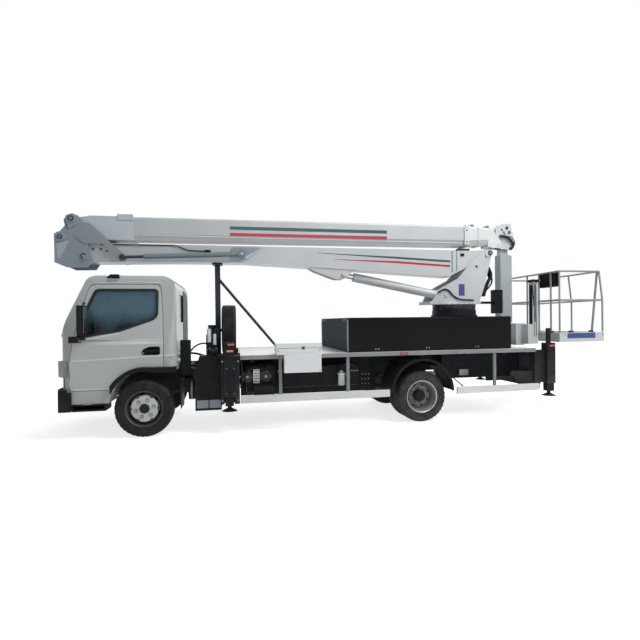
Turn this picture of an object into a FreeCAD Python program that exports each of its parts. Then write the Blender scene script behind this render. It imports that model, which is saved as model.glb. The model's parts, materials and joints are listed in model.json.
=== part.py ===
"""Truck-mounted articulated aerial platform on a light two-axle cab-over truck.

Millimetres. +X points rearward, +Y to the vehicle's right, +Z up. The ground is Z = 0.
Everything is laid out from the front axle (X = 0) and moved by ORIGIN_X on export, so
that the written parts have their origin under the middle of the stowed vehicle.
"""

import FreeCAD, Part
import math
import os

V = FreeCAD.Vector
X_AXIS, Y_AXIS, Z_AXIS = V(1, 0, 0), V(0, 1, 0), V(0, 0, 1)
SIDES = (("left", -1), ("right", 1))

# ------------------------------------------------------------------ driving dimensions
SEAT = 0.3               # gap between a part and the one that carries it
RUN = 0.05               # radial clearance of a running fit
GAP = 6.0                # clearance between parts that move past each other

# chassis
WHEELBASE = 3850
FRAME_HALF = 375         # outer face of the side rails
RAIL_BOTTOM, RAIL_TOP = 690, 880
RAIL_FLANGE, RAIL_WALL = 70, 8
FRAME_FRONT, FRAME_REAR = -900, 5780
DECK_FRONT, DECK_REAR = 1240, 5670
DECK_HALF = 1050
DECK_UNDER, DECK_TOP = 988, 1045

# wheels
TYRE_R, TYRE_W = 372, 207
RIM_R, RIM_W = 236, 166
AXLE_Z = TYRE_R
FRONT_TRACK = 1680
DUAL_OUTER_Y, DUAL_PITCH = 877, 249
KINGPIN_Y = 715
KINGPIN_R, SPINDLE_R = 18, 36
STEER_LOCK = 35

# cab
CAB_HALF, CAB_ROOF_HALF = 860, 795
CAB_WALL = 45
CAB_FLOOR = 900
CAB_UNDER = CAB_FLOOR - 5
CAB_FRONT, CAB_REAR = -1060, 400
CAB_ROOF = 2130
ROOF_SPARE = 20  # the front outline stands this much above the roof line
SCREEN_FOOT_Z, SCREEN_HEAD_X = 1307, -688      # where the windscreen's line meets front and roof
CAB_SILL = 455
DOOR_FRONT, DOOR_REAR = -905, 237
DOOR_BOTTOM, DOOR_TOP = 630, 2005
DOOR_OPEN = 70
DOOR_GAP = 6
BELT = 1250
SCREEN_LOW, SCREEN_HIGH, SCREEN_HALF = 55, 115, 735
ARCH_R, ARCH_LIP, ARCH_Z = 447, 50, 412
ARCH_OUT, BUMPER_OUT = 85, 65     # how far the arch lips and the bumper stand out of the cab's side
GLASS = 6

# outriggers
JACK_FRONT_X, JACK_REAR_X, JACK_Y = 1095, 5935, 985
JACK_SLEEVE, JACK_WALL, JACK_LEG = 140, 10, 110
JACK_FRONT_TOP, JACK_REAR_TOP = 1228, 1118
REAR_CAP_R, REAR_CAP_TOP = 36, 1345      # cylinder head over each rear sleeve
JACK_SLEEVE_BOTTOM = 500
JACK_FOOT_Z, JACK_FOOT_R = 307, 105
JACK_STROKE = 450
JACK_GUIDE = 60

# deck equipment
LOCKER_FRONT, LOCKER_REAR = 2745, 5289
LOCKER_OUT, LOCKER_DEPTH = 1000, 350
LOCKER_TOP, LOCKER_WALL = 1536, 20
LID_THICK, LID_OPEN = 18, 95
REST_X, REST_SIZE = 925, 80

HOSE_R = 12

# slewing turret
SLEW_X = 4868
RING_R, RING_BOTTOM, RING_TOP = 363, 1570, 1750
CHEEK_CLEAR, CHEEK_THICK = 30, 30
BOOM_PIN_R = 40
FOOT_X, FOOT_Z = 5379, 2591
SLEW_RANGE = 180

# lower boom
LOWER_HALF, LOWER_WALL = 160, 10
CHEEK_IN = LOWER_HALF + CHEEK_CLEAR
LOWER_TOP = 2655
LOWER_REAR, LOWER_NOSE = 4740, -1000
LOWER_LIFT = 75
EYE_X, EYE_Z = 2903, 2241
BASE_X, BASE_Z = 4620, 1905

# knuckle
KNUCKLE_X, KNUCKLE_Z = -890, 2437
RAISE_X, RAISE_Z = -1064, 2955
LINK_X, LINK_Z = -400, 2445
SIDE_BASE_X, SIDE_BASE_Z = 1295, 2518
SIDE_CLEAR = 88          # side cylinder's middle from the boom's side
SIDE_Y = -LOWER_HALF - SIDE_CLEAR
UPPER_RAISE = 80

# upper boom
UPPER_HALF, UPPER_WALL = 150, 7
UPPER_BOTTOM, UPPER_TOP = 2703, 3050
UPPER_TILT = 0.3
UPPER_FRONT, OUTER_REAR, MID_REAR, INNER_REAR = -870, 5080, 5310, 5545
TELESCOPE_STROKE = 3200
SECTION_STEP = 14        # wall and running clearance from one section to the next

# jib and basket
HEAD_X, HEAD_Z = 5655, 2765
JIB_X, JIB_Z = 5800, 3020
JIB_HALF, JIB_DEPTH = 85, 185
JIB_RAISE = 120
LEVEL_X, LEVEL_Z = 5800, 1225
MAST_X, MAST_Y, MAST_SIZE = 6140, -360, 100
BASKET_FRONT, BASKET_REAR, BASKET_HALF = 6250, 7040, 850
BASKET_FLOOR, BASKET_TOP, BASKET_MID = 1115, 2262, 1785
BASKET_TOE = 150
RAIL_TUBE = 16
BASKET_TURN = 90

KNUCKLE_FRONT = -1300
ORIGIN_X = (KNUCKLE_FRONT + BASKET_REAR + RAIL_TUBE) / 2


# ------------------------------------------------------------------ helpers
def box(x0, x1, y0, y1, z0, z1):
    return Part.makeBox(x1 - x0, y1 - y0, z1 - z0, V(x0, y0, z0))


def polygon_face(points):
    return Part.Face(Part.makePolygon(points + [points[0]]))


def prism_xz(points, y0, y1):
    """Polygon of (x, z) points, extruded from y0 to y1."""
    return polygon_face([V(x, y0, z) for x, z in points]).extrude(V(0, y1 - y0, 0))


def prism_yz(points, x0, x1):
    """Polygon of (y, z) points, extruded from x0 to x1."""
    return polygon_face([V(x0, y, z) for y, z in points]).extrude(V(x1 - x0, 0, 0))


def prism_xy(points, z0, z1):
    """Polygon of (x, y) points, extruded from z0 to z1."""
    return polygon_face([V(x, y, z0) for x, y in points]).extrude(V(0, 0, z1 - z0))


def rounded_face(points, place):
    """Face inside (u, v, corner radius) points; place turns u and v into a vector."""
    corners = []
    for before, (u, v, radius), after in zip(points[-1:] + points[:-1], points, points[1:] + points[:1]):
        here = V(u, v, 0)
        into = V(before[0] - u, before[1] - v, 0).normalize()
        out = V(after[0] - u, after[1] - v, 0).normalize()
        half = into.getAngle(out) / 2
        reach = radius / math.tan(half)
        middle = here + (into + out).normalize() * (radius / math.sin(half) - radius) if radius else here
        corners.append([place(p.x, p.y) for p in (here + into * reach, middle, here + out * reach)])
    edges = []
    for (start, middle, end), (following, _, _) in zip(corners, corners[1:] + corners[:1]):
        if (end - start).Length > 0.001:
            edges.append(Part.Arc(start, middle, end).toShape())
        edges.append(Part.LineSegment(end, following).toShape())
    return Part.Face(Part.Wire(edges))


def on_xy(u, v):
    return V(u, v, 0)


def rod(start, end, radius):
    """Round bar between two points."""
    start, end = V(*start), V(*end)
    return Part.makeCylinder(radius, (end - start).Length, start, end - start)


def tube(start, end, radius, wall):
    return rod(start, end, radius).cut(rod(start, end, radius - wall))


def pin_y(x, z, radius, y0, y1):
    """Round bar along Y."""
    return Part.makeCylinder(radius, y1 - y0, V(x, y0, z), Y_AXIS)


def mirrored(shape):
    """The same shape on the other side of the vehicle."""
    return shape.mirror(V(0, 0, 0), Y_AXIS)


def on_side(shape, sign):
    """A shape modelled on the right side, placed on the side that sign names."""
    return shape if sign > 0 else mirrored(shape)


def fused(shapes):
    shapes = list(shapes)
    return shapes[0].multiFuse(shapes[1:]).removeSplitter() if len(shapes) > 1 else shapes[0]


def hose(points, radius):
    """Hose of straight runs joined by tangent arcs."""
    points = [V(*p) for p in points]
    edges, last = [], points[0]
    for before, corner, after in zip(points, points[1:], points[2:]):
        into, out = corner - before, after - corner
        turn = into.getAngle(out)
        bend = 0.45 * min(into.Length, out.Length) / math.tan(turn / 2)
        reach = bend * math.tan(turn / 2)
        a = corner - into.normalize() * reach
        b = corner + out.normalize() * reach
        inner = (out - into).normalize()
        middle = corner + inner * (bend / math.cos(turn / 2) - bend)
        edges.append(Part.LineSegment(last, a).toShape())
        edges.append(Part.Arc(a, middle, b).toShape())
        last = b
    edges.append(Part.LineSegment(last, points[-1]).toShape())
    path = Part.Wire(edges)
    start = (points[1] - points[0]).normalize()
    profile = Part.Wire(Part.makeCircle(radius, points[0], start))
    return path.makePipeShell([profile], True, True)


def write(name, shapes):
    """Move the solids to the vehicle's own origin and write them as one node."""
    if not isinstance(shapes, (list, tuple)):
        shapes = [shapes]
    solids = [solid for shape in shapes for solid in shape.Solids]
    whole = Part.makeCompound(solids) if len(solids) > 1 else solids[0]
    whole = whole.copy()
    whole.translate(V(-ORIGIN_X, 0, 0))
    whole.exportStep(f"parts/{name}.step")


# ------------------------------------------------------------------ chassis
CROSSMEMBERS = (-700, 620, 1700, 2700, 3300, 4400, 5300)
CAB_MOUNTS = (-760, 290)
RAIL_WEB_IN = FRAME_HALF - RAIL_WALL


def chassis_frame():
    """Two channel rails, open to the middle, with cross-members between the webs."""
    rail = box(FRAME_FRONT, FRAME_REAR, FRAME_HALF - RAIL_FLANGE, FRAME_HALF, RAIL_BOTTOM, RAIL_TOP)
    rail = rail.cut(box(FRAME_FRONT - 1, FRAME_REAR + 1, FRAME_HALF - RAIL_FLANGE - 1, RAIL_WEB_IN,
                        RAIL_BOTTOM + RAIL_WALL, RAIL_TOP - RAIL_WALL))
    pads = [box(x - 40, x + 40, FRAME_HALF - 60, FRAME_HALF - 10, RAIL_TOP, CAB_UNDER - SEAT) for x in CAB_MOUNTS]
    rail = fused([rail] + pads)
    reach = RAIL_WEB_IN - SEAT
    cross = []
    for x in CROSSMEMBERS:
        outer = box(x, x + 80, -reach, reach, RAIL_BOTTOM + 30, RAIL_TOP - 30)
        cross.append(outer.cut(box(x + 8, x + 81, -reach, reach, RAIL_BOTTOM + 38, RAIL_TOP - 38)))
    front = box(FRAME_FRONT - 12, FRAME_FRONT - SEAT, -FRAME_HALF, FRAME_HALF, RAIL_BOTTOM, RAIL_TOP)
    rear = box(FRAME_REAR + SEAT, FRAME_REAR + 12, -FRAME_HALF, FRAME_HALF, RAIL_BOTTOM, RAIL_TOP)
    return [rail, mirrored(rail)] + cross + [front, fused([rear, tow_eye()])]


TOW_EYE_R, TOW_EYE_THICK, TOW_EYE_Z = 25, 24, 735
TOW_EYE_X = FRAME_REAR + 112


def tow_eye():
    """Lug with an upright bore behind the rear cross plate."""
    low = TOW_EYE_Z - TOW_EYE_THICK / 2
    lug = Part.makeCylinder(50, TOW_EYE_THICK, V(TOW_EYE_X, 0, low))
    neck = box(FRAME_REAR + 12, TOW_EYE_X, -50, 50, low, low + TOW_EYE_THICK)
    hole = Part.makeCylinder(TOW_EYE_R, TOW_EYE_THICK + 2, V(TOW_EYE_X, 0, low - 1))
    return lug.fuse(neck).cut(hole)


SUBFRAME_FRONT = 740
BEARER_DEEP = 40
BEARERS = (
    # place along the vehicle, half length across it
    (REST_X, FRAME_HALF),
    (1400, DECK_HALF - 60),
    (2200, DECK_HALF - 60),
    (3000, DECK_HALF - 60),
    (3850, DECK_HALF - 60),
    (4570, DECK_HALF - 60),
    (5170, DECK_HALF - 60),
    (5560, DECK_HALF - 60),
)
OUTRIGGERS = (
    # end of the vehicle, place along it, top of the jack sleeve
    ("front", JACK_FRONT_X, JACK_FRONT_TOP),
    ("rear", JACK_REAR_X, JACK_REAR_TOP),
)
BEAM_HALF = 65           # half width of an outrigger's cross beam
HOUSINGS = (
    # plated box round each sleeve: x from and to, y from and to, z from and to
    (JACK_FRONT_X - 109, JACK_FRONT_X + 137, 790, 1030, 400, 1040),
    (FRAME_REAR - 90, JACK_REAR_X - 60, 905, 1000, 512, 1010),
)


def subframe():
    """Box rails on the chassis and the cross-bearers under the deck."""
    low, high = RAIL_TOP, DECK_UNDER
    start, end = SUBFRAME_FRONT, FRAME_REAR
    rail = box(start, end, FRAME_HALF - 80, FRAME_HALF, low, high)
    rail = rail.cut(box(start + 10, end - 10, FRAME_HALF - 72, FRAME_HALF - 8, low + 8, high - 8))
    pieces = [rail, mirrored(rail)]
    for x, half in BEARERS:
        pieces.append(box(x - 30, x + 30, -half, half, high - BEARER_DEEP, high))
    body = fused(pieces)
    beam = BEAM_HALF + SEAT
    return body.cut(box(JACK_FRONT_X - beam, JACK_FRONT_X + beam, -500, 500, low - 1, high + 1))


def outriggers():
    """Cross beam at each end of the subframe with an upright jack sleeve on each side."""
    made = []
    for (_, x, top), housing in zip(OUTRIGGERS, HOUSINGS):
        inner = JACK_Y - JACK_SLEEVE / 2
        way_out = square(x, JACK_Y, JACK_LEG + 4 * GAP, 0, JACK_SLEEVE_BOTTOM)
        sleeve = jack_sleeve(x, top).fuse(box(*housing).cut(way_out))
        body = fused([box(x - BEAM_HALF, x + BEAM_HALF, -inner, inner, RAIL_TOP, DECK_UNDER)]
                     + [on_side(sleeve, sign) for _, sign in SIDES])
        for _, sign in SIDES:
            body = body.cut(on_side(jack_bore(x, top), sign))
        made.append(body)
    extras = []
    x0 = HOUSINGS[1][0]
    skirt = prism_xz([(x0 - 394, 651), (x0 - 359, 695), (x0 + 10, 690), (x0 + 10, 517), (x0 - 207, 521)], 940, 948)
    cap = Part.makeCylinder(REAR_CAP_R, REAR_CAP_TOP - JACK_REAR_TOP + 1, V(JACK_REAR_X, JACK_Y, JACK_REAR_TOP - 1))
    for _, sign in SIDES:
        extras += [on_side(skirt, sign), on_side(cap, sign)]
    made[1] = fused([made[1]] + extras)
    rear_arm = box(FRAME_REAR + SEAT, JACK_REAR_X, FRAME_HALF - 75, FRAME_HALF - 5, RAIL_TOP + 10, DECK_UNDER - 10)
    made[1] = fused([made[1], rear_arm, mirrored(rear_arm)])
    return made


def square(x, y, size, z0, z1):
    return box(x - size / 2, x + size / 2, y - size / 2, y + size / 2, z0, z1)


def jack_sleeve(x, top):
    return square(x, JACK_Y, JACK_SLEEVE, JACK_SLEEVE_BOTTOM, top)


def jack_bore(x, top):
    """Space in a sleeve: tight on the leg at its mouth, wider above it."""
    inner = JACK_SLEEVE - 2 * JACK_WALL
    mouth = JACK_SLEEVE_BOTTOM + JACK_GUIDE
    bore = square(x, JACK_Y, inner, mouth, top - JACK_WALL)
    return bore.fuse(square(x, JACK_Y, JACK_LEG + 2 * SEAT, JACK_SLEEVE_BOTTOM - 1, mouth + 1))


def jack(x, top):
    """Leg with a guide block at its top, the foot plate and its ball."""
    leg_top = top - JACK_WALL - 8
    leg = square(x, JACK_Y, JACK_LEG, JACK_FOOT_Z + 70, leg_top)
    guide = square(x, JACK_Y, JACK_SLEEVE - 2 * JACK_WALL - 2 * SEAT, leg_top - JACK_GUIDE, leg_top)
    neck = Part.makeCylinder(28, 80, V(x, JACK_Y, JACK_FOOT_Z + 10))
    foot = Part.makeCone(JACK_FOOT_R, JACK_FOOT_R * 0.35, 35, V(x, JACK_Y, JACK_FOOT_Z))
    return fused([leg, guide, neck, foot])


def deck():
    """Floor plate with side rails; the turret column passes through its opening."""
    plate = box(DECK_FRONT, DECK_REAR, -DECK_HALF, DECK_HALF, DECK_TOP - 15, DECK_TOP)
    rail = box(DECK_FRONT, DECK_REAR, DECK_HALF - 45, DECK_HALF, DECK_UNDER, DECK_TOP)
    ends = [box(x, x + 40, -DECK_HALF, DECK_HALF, DECK_UNDER, DECK_TOP)
            for x in (DECK_FRONT, DECK_REAR - 40)]
    stringers = [box(DECK_FRONT, DECK_REAR, y - 20, y + 20, DECK_UNDER, DECK_TOP - 15)
                 for y in (-700, 700)]
    body = fused([plate, rail, mirrored(rail)] + ends + stringers)
    hole = COLUMN_HALF + SEAT
    return body.cut(box(SLEW_X - hole, SLEW_X + hole, -hole, hole, DECK_UNDER - 1, DECK_TOP + 1))


GUARD_LOW, GUARD_HIGH, GUARD_THICK = 403, 503, 30
MUDGUARD_R, MUDGUARD_Z, MUDGUARD_THICK = 481, 451, 10
MUDGUARD_IN, MUDGUARD_OUT = 505, 1030
GUARDS = (
    # rail from, rail to, posts
    (1240, WHEELBASE - MUDGUARD_R - 34, (1777, 2724)),
    (WHEELBASE + MUDGUARD_R + 49, 5740, ((WHEELBASE + MUDGUARD_R + 49 + 5740) / 2 - 70,)),
)


def side_guards():
    """Underride rails on posts that hang from the deck's side rails."""
    guards = []
    y0, y1 = DECK_HALF - 45, DECK_HALF - 45 + GUARD_THICK
    for x0, x1, posts in GUARDS:
        rail = box(x0, x1, y0, y1, GUARD_LOW, GUARD_HIGH)
        uprights = [box(x - 22, x + 22, y0, y1, GUARD_LOW + 10, DECK_UNDER - SEAT) for x in posts]
        guard = fused([rail] + uprights)
        guards += [guard, mirrored(guard)]
    return guards


def rear_mudguards():
    """Half-round guards over the twin wheels, with skirts and two arms to the frame."""
    guards = []
    x = WHEELBASE
    outer = pin_y(x, MUDGUARD_Z, MUDGUARD_R, MUDGUARD_IN, MUDGUARD_OUT)
    outer = outer.cut(pin_y(x, MUDGUARD_Z, MUDGUARD_R - MUDGUARD_THICK, MUDGUARD_IN - 1, MUDGUARD_OUT + 1))
    arch = outer.common(box(x - 600, x + 600, 0, 2000, MUDGUARD_Z, 2000))
    lip = pin_y(x, MUDGUARD_Z, MUDGUARD_R, MUDGUARD_OUT - 12, MUDGUARD_OUT)
    lip = lip.cut(pin_y(x, MUDGUARD_Z, MUDGUARD_R - 35, MUDGUARD_OUT - 13, MUDGUARD_OUT + 1))
    lip = lip.common(box(x - 600, x + 600, 0, 2000, MUDGUARD_Z, 2000))
    arms = []
    for ax in (x - 240, x + 240):
        height = MUDGUARD_Z + math.sqrt((MUDGUARD_R - MUDGUARD_THICK) ** 2 - 240 ** 2)
        arms.append(box(ax - 15, ax + 15, FRAME_HALF + SEAT, MUDGUARD_OUT - 60, height - 42, height - 6))
    guard = fused([arch, lip] + arms)
    guards += [guard, mirrored(guard)]
    return guards


# ------------------------------------------------------------------ axles and wheels
def leaf_spring(x, pad_z, eye_z, reach):
    """Leaf pack under a rail, arched from the axle pad to its two eyes, with hangers."""
    y0, y1 = FRAME_HALF - 70, FRAME_HALF - 5
    pack = prism_xz([(x - reach, eye_z), (x - 110, pad_z), (x + 110, pad_z), (x + reach, eye_z),
                     (x + reach, eye_z + 24), (x + 110, pad_z + 52), (x - 110, pad_z + 52),
                     (x - reach, eye_z + 24)], y0, y1)
    hangers = [box(hx - 30, hx + 30, y0, y1, eye_z, RAIL_BOTTOM - SEAT)
               for hx in (x - reach, x + reach)]
    return fused([pack] + hangers)


BEAM_TOP = AXLE_Z + 28


def front_suspension():
    """Forged beam with king-pin bosses, and the leaf springs that carry the frame on it."""
    beam = box(-45, 45, -KINGPIN_Y, KINGPIN_Y, AXLE_Z - 40, BEAM_TOP)
    beam = beam.cut(fused([box(20, 50, -560, 560, AXLE_Z - 22, AXLE_Z + 10),
                           box(-50, -20, -560, 560, AXLE_Z - 22, AXLE_Z + 10)]))
    pieces = [beam]
    for _, sign in SIDES:
        pieces.append(Part.makeCylinder(45, 90, V(0, sign * KINGPIN_Y, AXLE_Z - 45)))
        pieces.append(Part.makeCylinder(KINGPIN_R, 200, V(0, sign * KINGPIN_Y, AXLE_Z - 100)))
        pieces.append(on_side(leaf_spring(0, BEAM_TOP, 560, 520), sign))
    return fused(pieces)


def knuckle():
    """Steering knuckle: two lugs round the king-pin, an upright plate and the spindle."""
    face = KINGPIN_Y + 45 + GAP
    pieces = [box(-40, 40, face, face + 24, AXLE_Z - 92, AXLE_Z + 92)]
    for z0 in (AXLE_Z + 52, AXLE_Z - 92):
        lug = Part.makeCylinder(38, 40, V(0, KINGPIN_Y, z0))
        arm = box(-30, 30, KINGPIN_Y, face + 5, z0, z0 + 40)
        pieces.append(lug.fuse(arm))
    pieces.append(pin_y(0, AXLE_Z, SPINDLE_R, face + 10, FRONT_TRACK / 2 + 90))
    body = fused(pieces)
    return body.cut(Part.makeCylinder(KINGPIN_R + RUN, 300, V(0, KINGPIN_Y, AXLE_Z - 150)))


def ring_y(x, y0, y1, z, points):
    """Turned ring about an axis along Y; points are (radius, y)."""
    wire = Part.makePolygon([V(x + r, y, z) for r, y in points + [points[0]]])
    return Part.Face(wire).revolve(V(x, 0, z), Y_AXIS, 360)


def tyre(x, y):
    """Tyre with its centre plane at y."""
    half, inner = TYRE_W / 2, RIM_R + SEAT
    section = [(inner, y - half + 22), (TYRE_R - 70, y - half), (TYRE_R - 26, y - half + 8),
               (TYRE_R - 5, y - half + 26), (TYRE_R, y - 30), (TYRE_R, y + 30),
               (TYRE_R - 5, y + half - 26), (TYRE_R - 26, y + half - 8), (TYRE_R - 70, y + half),
               (inner, y + half - 22)]
    return ring_y(x, 0, 0, AXLE_Z, section)


def rim_barrel(x, y):
    half = RIM_W / 2
    return tube((x, y - half, AXLE_Z), (x, y + half, AXLE_Z), RIM_R, 14)


def front_wheel_rim():
    """Rim with its disc near the outer face and the hub that turns on the spindle."""
    y = FRONT_TRACK / 2
    barrel = rim_barrel(0, y)
    disc = pin_y(0, AXLE_Z, RIM_R - 8, y + 20, y + 36)
    hub = pin_y(0, AXLE_Z, 92, y - 40, y + 62)
    cap = pin_y(0, AXLE_Z, 58, y + 62, y + 100)
    body = fused([barrel, disc, hub, cap])
    return body.cut(pin_y(0, AXLE_Z, SPINDLE_R + RUN, y - 60, y + 90 + 2))


def rear_wheel_rims():
    """Both rims of a twin wheel bolted disc to disc on one hub."""
    outer, inner = DUAL_OUTER_Y, DUAL_OUTER_Y - DUAL_PITCH
    middle = (outer + inner) / 2
    x = WHEELBASE
    pieces = [rim_barrel(x, outer), rim_barrel(x, inner)]
    pieces.append(pin_y(x, AXLE_Z, RIM_R - 60, middle - 14, middle + 14))
    for side in (-1, 1):
        reach = middle + side * (DUAL_PITCH / 2 - RIM_W / 2 + 10)
        low, high = sorted((middle + side * 14, reach))
        pieces.append(tube((x, low, AXLE_Z), (x, high, AXLE_Z), RIM_R - 50, 14))
        low, high = sorted((reach, reach + side * 12))
        web = tube((x, low, AXLE_Z), (x, high, AXLE_Z), RIM_R - 2, 62)
        pieces.append(web)
        low, high = sorted((middle + side * 2, middle + side * 14))
        pieces.append(tube((x, low, AXLE_Z), (x, high, AXLE_Z), RIM_R - 50, 40))
    pieces.append(pin_y(x, AXLE_Z, 105, middle - 60, middle + 70))
    pieces.append(pin_y(x, AXLE_Z, 75, middle + 70, middle + 120))
    body = fused(pieces)
    return body.cut(pin_y(x, AXLE_Z, REAR_SPINDLE_R + RUN, middle - 80, middle + 72))


REAR_SPINDLE_R = 45
ENGINE_REAR = 560


def rear_suspension():
    """Driven axle with its bowl, the propeller shaft and the leaf springs."""
    x = WHEELBASE
    middle = DUAL_OUTER_Y - DUAL_PITCH / 2
    tube_end = middle - 68
    pieces = [pin_y(x, AXLE_Z, 62, -tube_end, tube_end)]
    pieces.append(pin_y(x, AXLE_Z, REAR_SPINDLE_R, -middle - 70, middle + 70))
    pieces.append(Part.makeSphere(165, V(x, 0, AXLE_Z)))
    pieces.append(rod((x - 300, 0, AXLE_Z + 20), (x - 100, 0, AXLE_Z + 10), 60))
    pieces.append(rod((ENGINE_REAR + SEAT, 0, 600), (ENGINE_REAR + 80, 0, 600), 50))
    pieces.append(rod((ENGINE_REAR + 50, 0, 600), (x - 290, 0, AXLE_Z + 20), 42))
    for _, sign in SIDES:
        pieces.append(on_side(leaf_spring(x, AXLE_Z + 55, 590, 600), sign))
    return fused(pieces)


# ------------------------------------------------------------------ cab
def mirrored_outline(half):
    """Closed outline from (u, v, radius) points with v above 0, and their mirror image."""
    return half + [(u, -v, radius) for u, v, radius in reversed(half)]


def cab_side_outline():
    """Side view of the cab: (x, z, corner radius)."""
    return [(CAB_FRONT, CAB_SILL, 0), (CAB_FRONT, SCREEN_FOOT_Z, 800), (SCREEN_HEAD_X, CAB_ROOF, 150),
            (CAB_REAR, CAB_ROOF, 190), (CAB_REAR, CAB_SILL, 0)]


def cab_front_outline():
    """Front view: upright below the belt, leaning in above it: (y, z, corner radius)."""
    half = [(CAB_SILL, CAB_HALF, 0), (BELT, CAB_HALF, 900), (CAB_ROOF + ROOF_SPARE, CAB_ROOF_HALF, 120)]
    return [(y, z, radius) for z, y, radius in mirrored_outline(half)]


def cab_plan_outline():
    """Plan view with a bowed front and rounded corners: (x, y, corner radius)."""
    nose = [(CAB_FRONT - 25, CAB_HALF - 380, 900), (CAB_FRONT + 40, CAB_HALF - 70, 130),
            (DOOR_FRONT - DOOR_GAP - 1, CAB_HALF, 40)]
    return mirrored_outline(nose + [(CAB_REAR, CAB_HALF, 110)])


def inset_face(points, place, inset):
    face = rounded_face(points, place)
    return Part.Face(face.OuterWire.makeOffset2D(-inset, 2)) if inset else face


def cab_volume(inset):
    """Cab outline as a solid, inset by a wall."""
    side = inset_face(cab_side_outline(), lambda u, v: V(u, -1200, v), inset).extrude(V(0, 2400, 0))
    front = inset_face(cab_front_outline(), lambda u, v: V(-1500, u, v), inset).extrude(V(3000, 0, 0))
    plan = inset_face(cab_plan_outline(), on_xy, inset).extrude(V(0, 0, 3000))
    return side.common(plan).common(front)


def wheel_arch(radius):
    return pin_y(0, ARCH_Z, radius, -1200, 1200)


def door_outline(grow):
    """Door as (x, z, corner radius), grown by the door gap for its opening."""
    g = grow
    return [(DOOR_FRONT - g, DOOR_BOTTOM - g, 20), (DOOR_FRONT - g, 1030, 200), (-862 - g, 1300, 500),
            (-668 - g, DOOR_TOP + g, 110), (205 + g, DOOR_TOP + g, 70), (DOOR_REAR - 8 + g, 1700, 600),
            (DOOR_REAR + g, 1300, 0), (DOOR_REAR + g, 900 - g, 15), (0, 900 - g, 0), (0, DOOR_BOTTOM - g, 0)]


def door_window_outline(inset):
    """Door window as (x, z, corner radius): its sill drops towards the front."""
    g = inset
    return [(-818 + 1.3 * g, 1311 + g, 18), (-770 + g, 1545, 300), (-598 + g, 1938 - g, 75),
            (170 - g, 1938 - g, 40), (164 - g, 1560 + g, 110), (-298, 1395 + g, 600)]


def door_prism(points, sign):
    face = rounded_face(points, lambda u, v: V(u, sign * 600, v))
    return face.extrude(V(0, sign * 600, 0))


def cab_shell():
    """Welded cab: walls of one thickness, floor, wheel arches and all its openings."""
    outer = cab_volume(0)
    inner = cab_volume(CAB_WALL)
    inner = inner.cut(box(-2000, 2000, -2000, 2000, 0, CAB_FLOOR + 30))
    body = outer.cut(inner)
    well_x0, well_x1 = CAB_FRONT + CAB_WALL + 20, -480
    for _, sign in SIDES:
        well = box(well_x0, well_x1, 430, CAB_HALF - CAB_WALL, 660, CAB_FLOOR + 40)
        body = body.cut(on_side(well, sign))
    under = box(-1010, 2000, -FRAME_HALF - 45, FRAME_HALF + 45, 0, CAB_UNDER)
    behind = box(0, 2000, -2000, 2000, 0, 858)
    body = body.cut(under).cut(behind).cut(wheel_arch(ARCH_R))
    body = body.cut(box(-460, 460, -2000, 2000, 0, ARCH_Z))
    body = body.cut(box(-2000, -480, -430, 430, 0, 600))
    for _, sign in SIDES:
        hole = door_prism(door_outline(DOOR_GAP), sign).cut(wheel_arch(ARCH_R + ARCH_LIP))
        body = body.cut(hole)
    body = body.cut(windscreen_block(0)).cut(rear_window_block(0))
    body = max(body.Solids, key=lambda solid: solid.Volume)
    for _, sign in SIDES:
        for z in DOOR_HINGES:
            top = z + HINGE_LONG
            body = body.cut(on_side(hinge_bar(z - SEAT, top + SEAT, HINGE_R + HINGE_SLACK), sign))
            knuckles = [hinge_bar(z - HINGE_END, z - SEAT, HINGE_R),
                        hinge_bar(top + SEAT, top + HINGE_END, HINGE_R),
                        hinge_bar(z - HINGE_END, top + HINGE_END, HINGE_PIN_R)]
            body = body.fuse(on_side(fused(knuckles), sign))
    return body


DOOR_HINGES = (690, 930)                 # bottoms of the door's own knuckles
HINGE_R, HINGE_PIN_R, HINGE_SLACK = 6, 3, 1.5
HINGE_LONG, HINGE_END = 60, 25


def door_hinge():
    """Place of the door's upright hinge axis as (x, y) on the right side."""
    return DOOR_FRONT - DOOR_GAP / 2, CAB_HALF + 1


def hinge_bar(z0, z1, radius):
    """Round bar on the right door's hinge axis."""
    x, y = door_hinge()
    return Part.makeCylinder(radius, z1 - z0, V(x, y, z0))


def windscreen_block(inset):
    """Space of the windscreen, square to the raked front."""
    low, high = (CAB_FRONT, SCREEN_FOOT_Z), (SCREEN_HEAD_X, CAB_ROOF)
    dx, dz = high[0] - low[0], high[1] - low[1]
    length = math.hypot(dx, dz)
    ux, uz = dx / length, dz / length
    near, far = SCREEN_LOW + inset, length - SCREEN_HIGH - inset
    a = (low[0] + ux * near, low[1] + uz * near)
    b = (low[0] + ux * far, low[1] + uz * far)
    nx, nz = -uz * 200, ux * 200
    points = [(a[0] + nx, a[1] + nz), (b[0] + nx, b[1] + nz), (b[0] - nx, b[1] - nz), (a[0] - nx, a[1] - nz)]
    half = SCREEN_HALF - inset
    return prism_xz(points, -half, half)


def rear_window_block(inset):
    return box(CAB_REAR - 120, CAB_REAR + 60, -430 + inset, 430 - inset, 1500 + inset, 1900 - inset)


def glass_shell(depth):
    """Layer of the cab's outline from depth to depth plus one pane thickness."""
    return cab_volume(depth).cut(cab_volume(depth + GLASS))


def cab_windows():
    front = glass_shell(14).common(windscreen_block(SEAT))
    rear = glass_shell(14).common(rear_window_block(SEAT))
    return [max(front.Solids, key=lambda s: s.Volume), max(rear.Solids, key=lambda s: s.Volume)]


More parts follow.
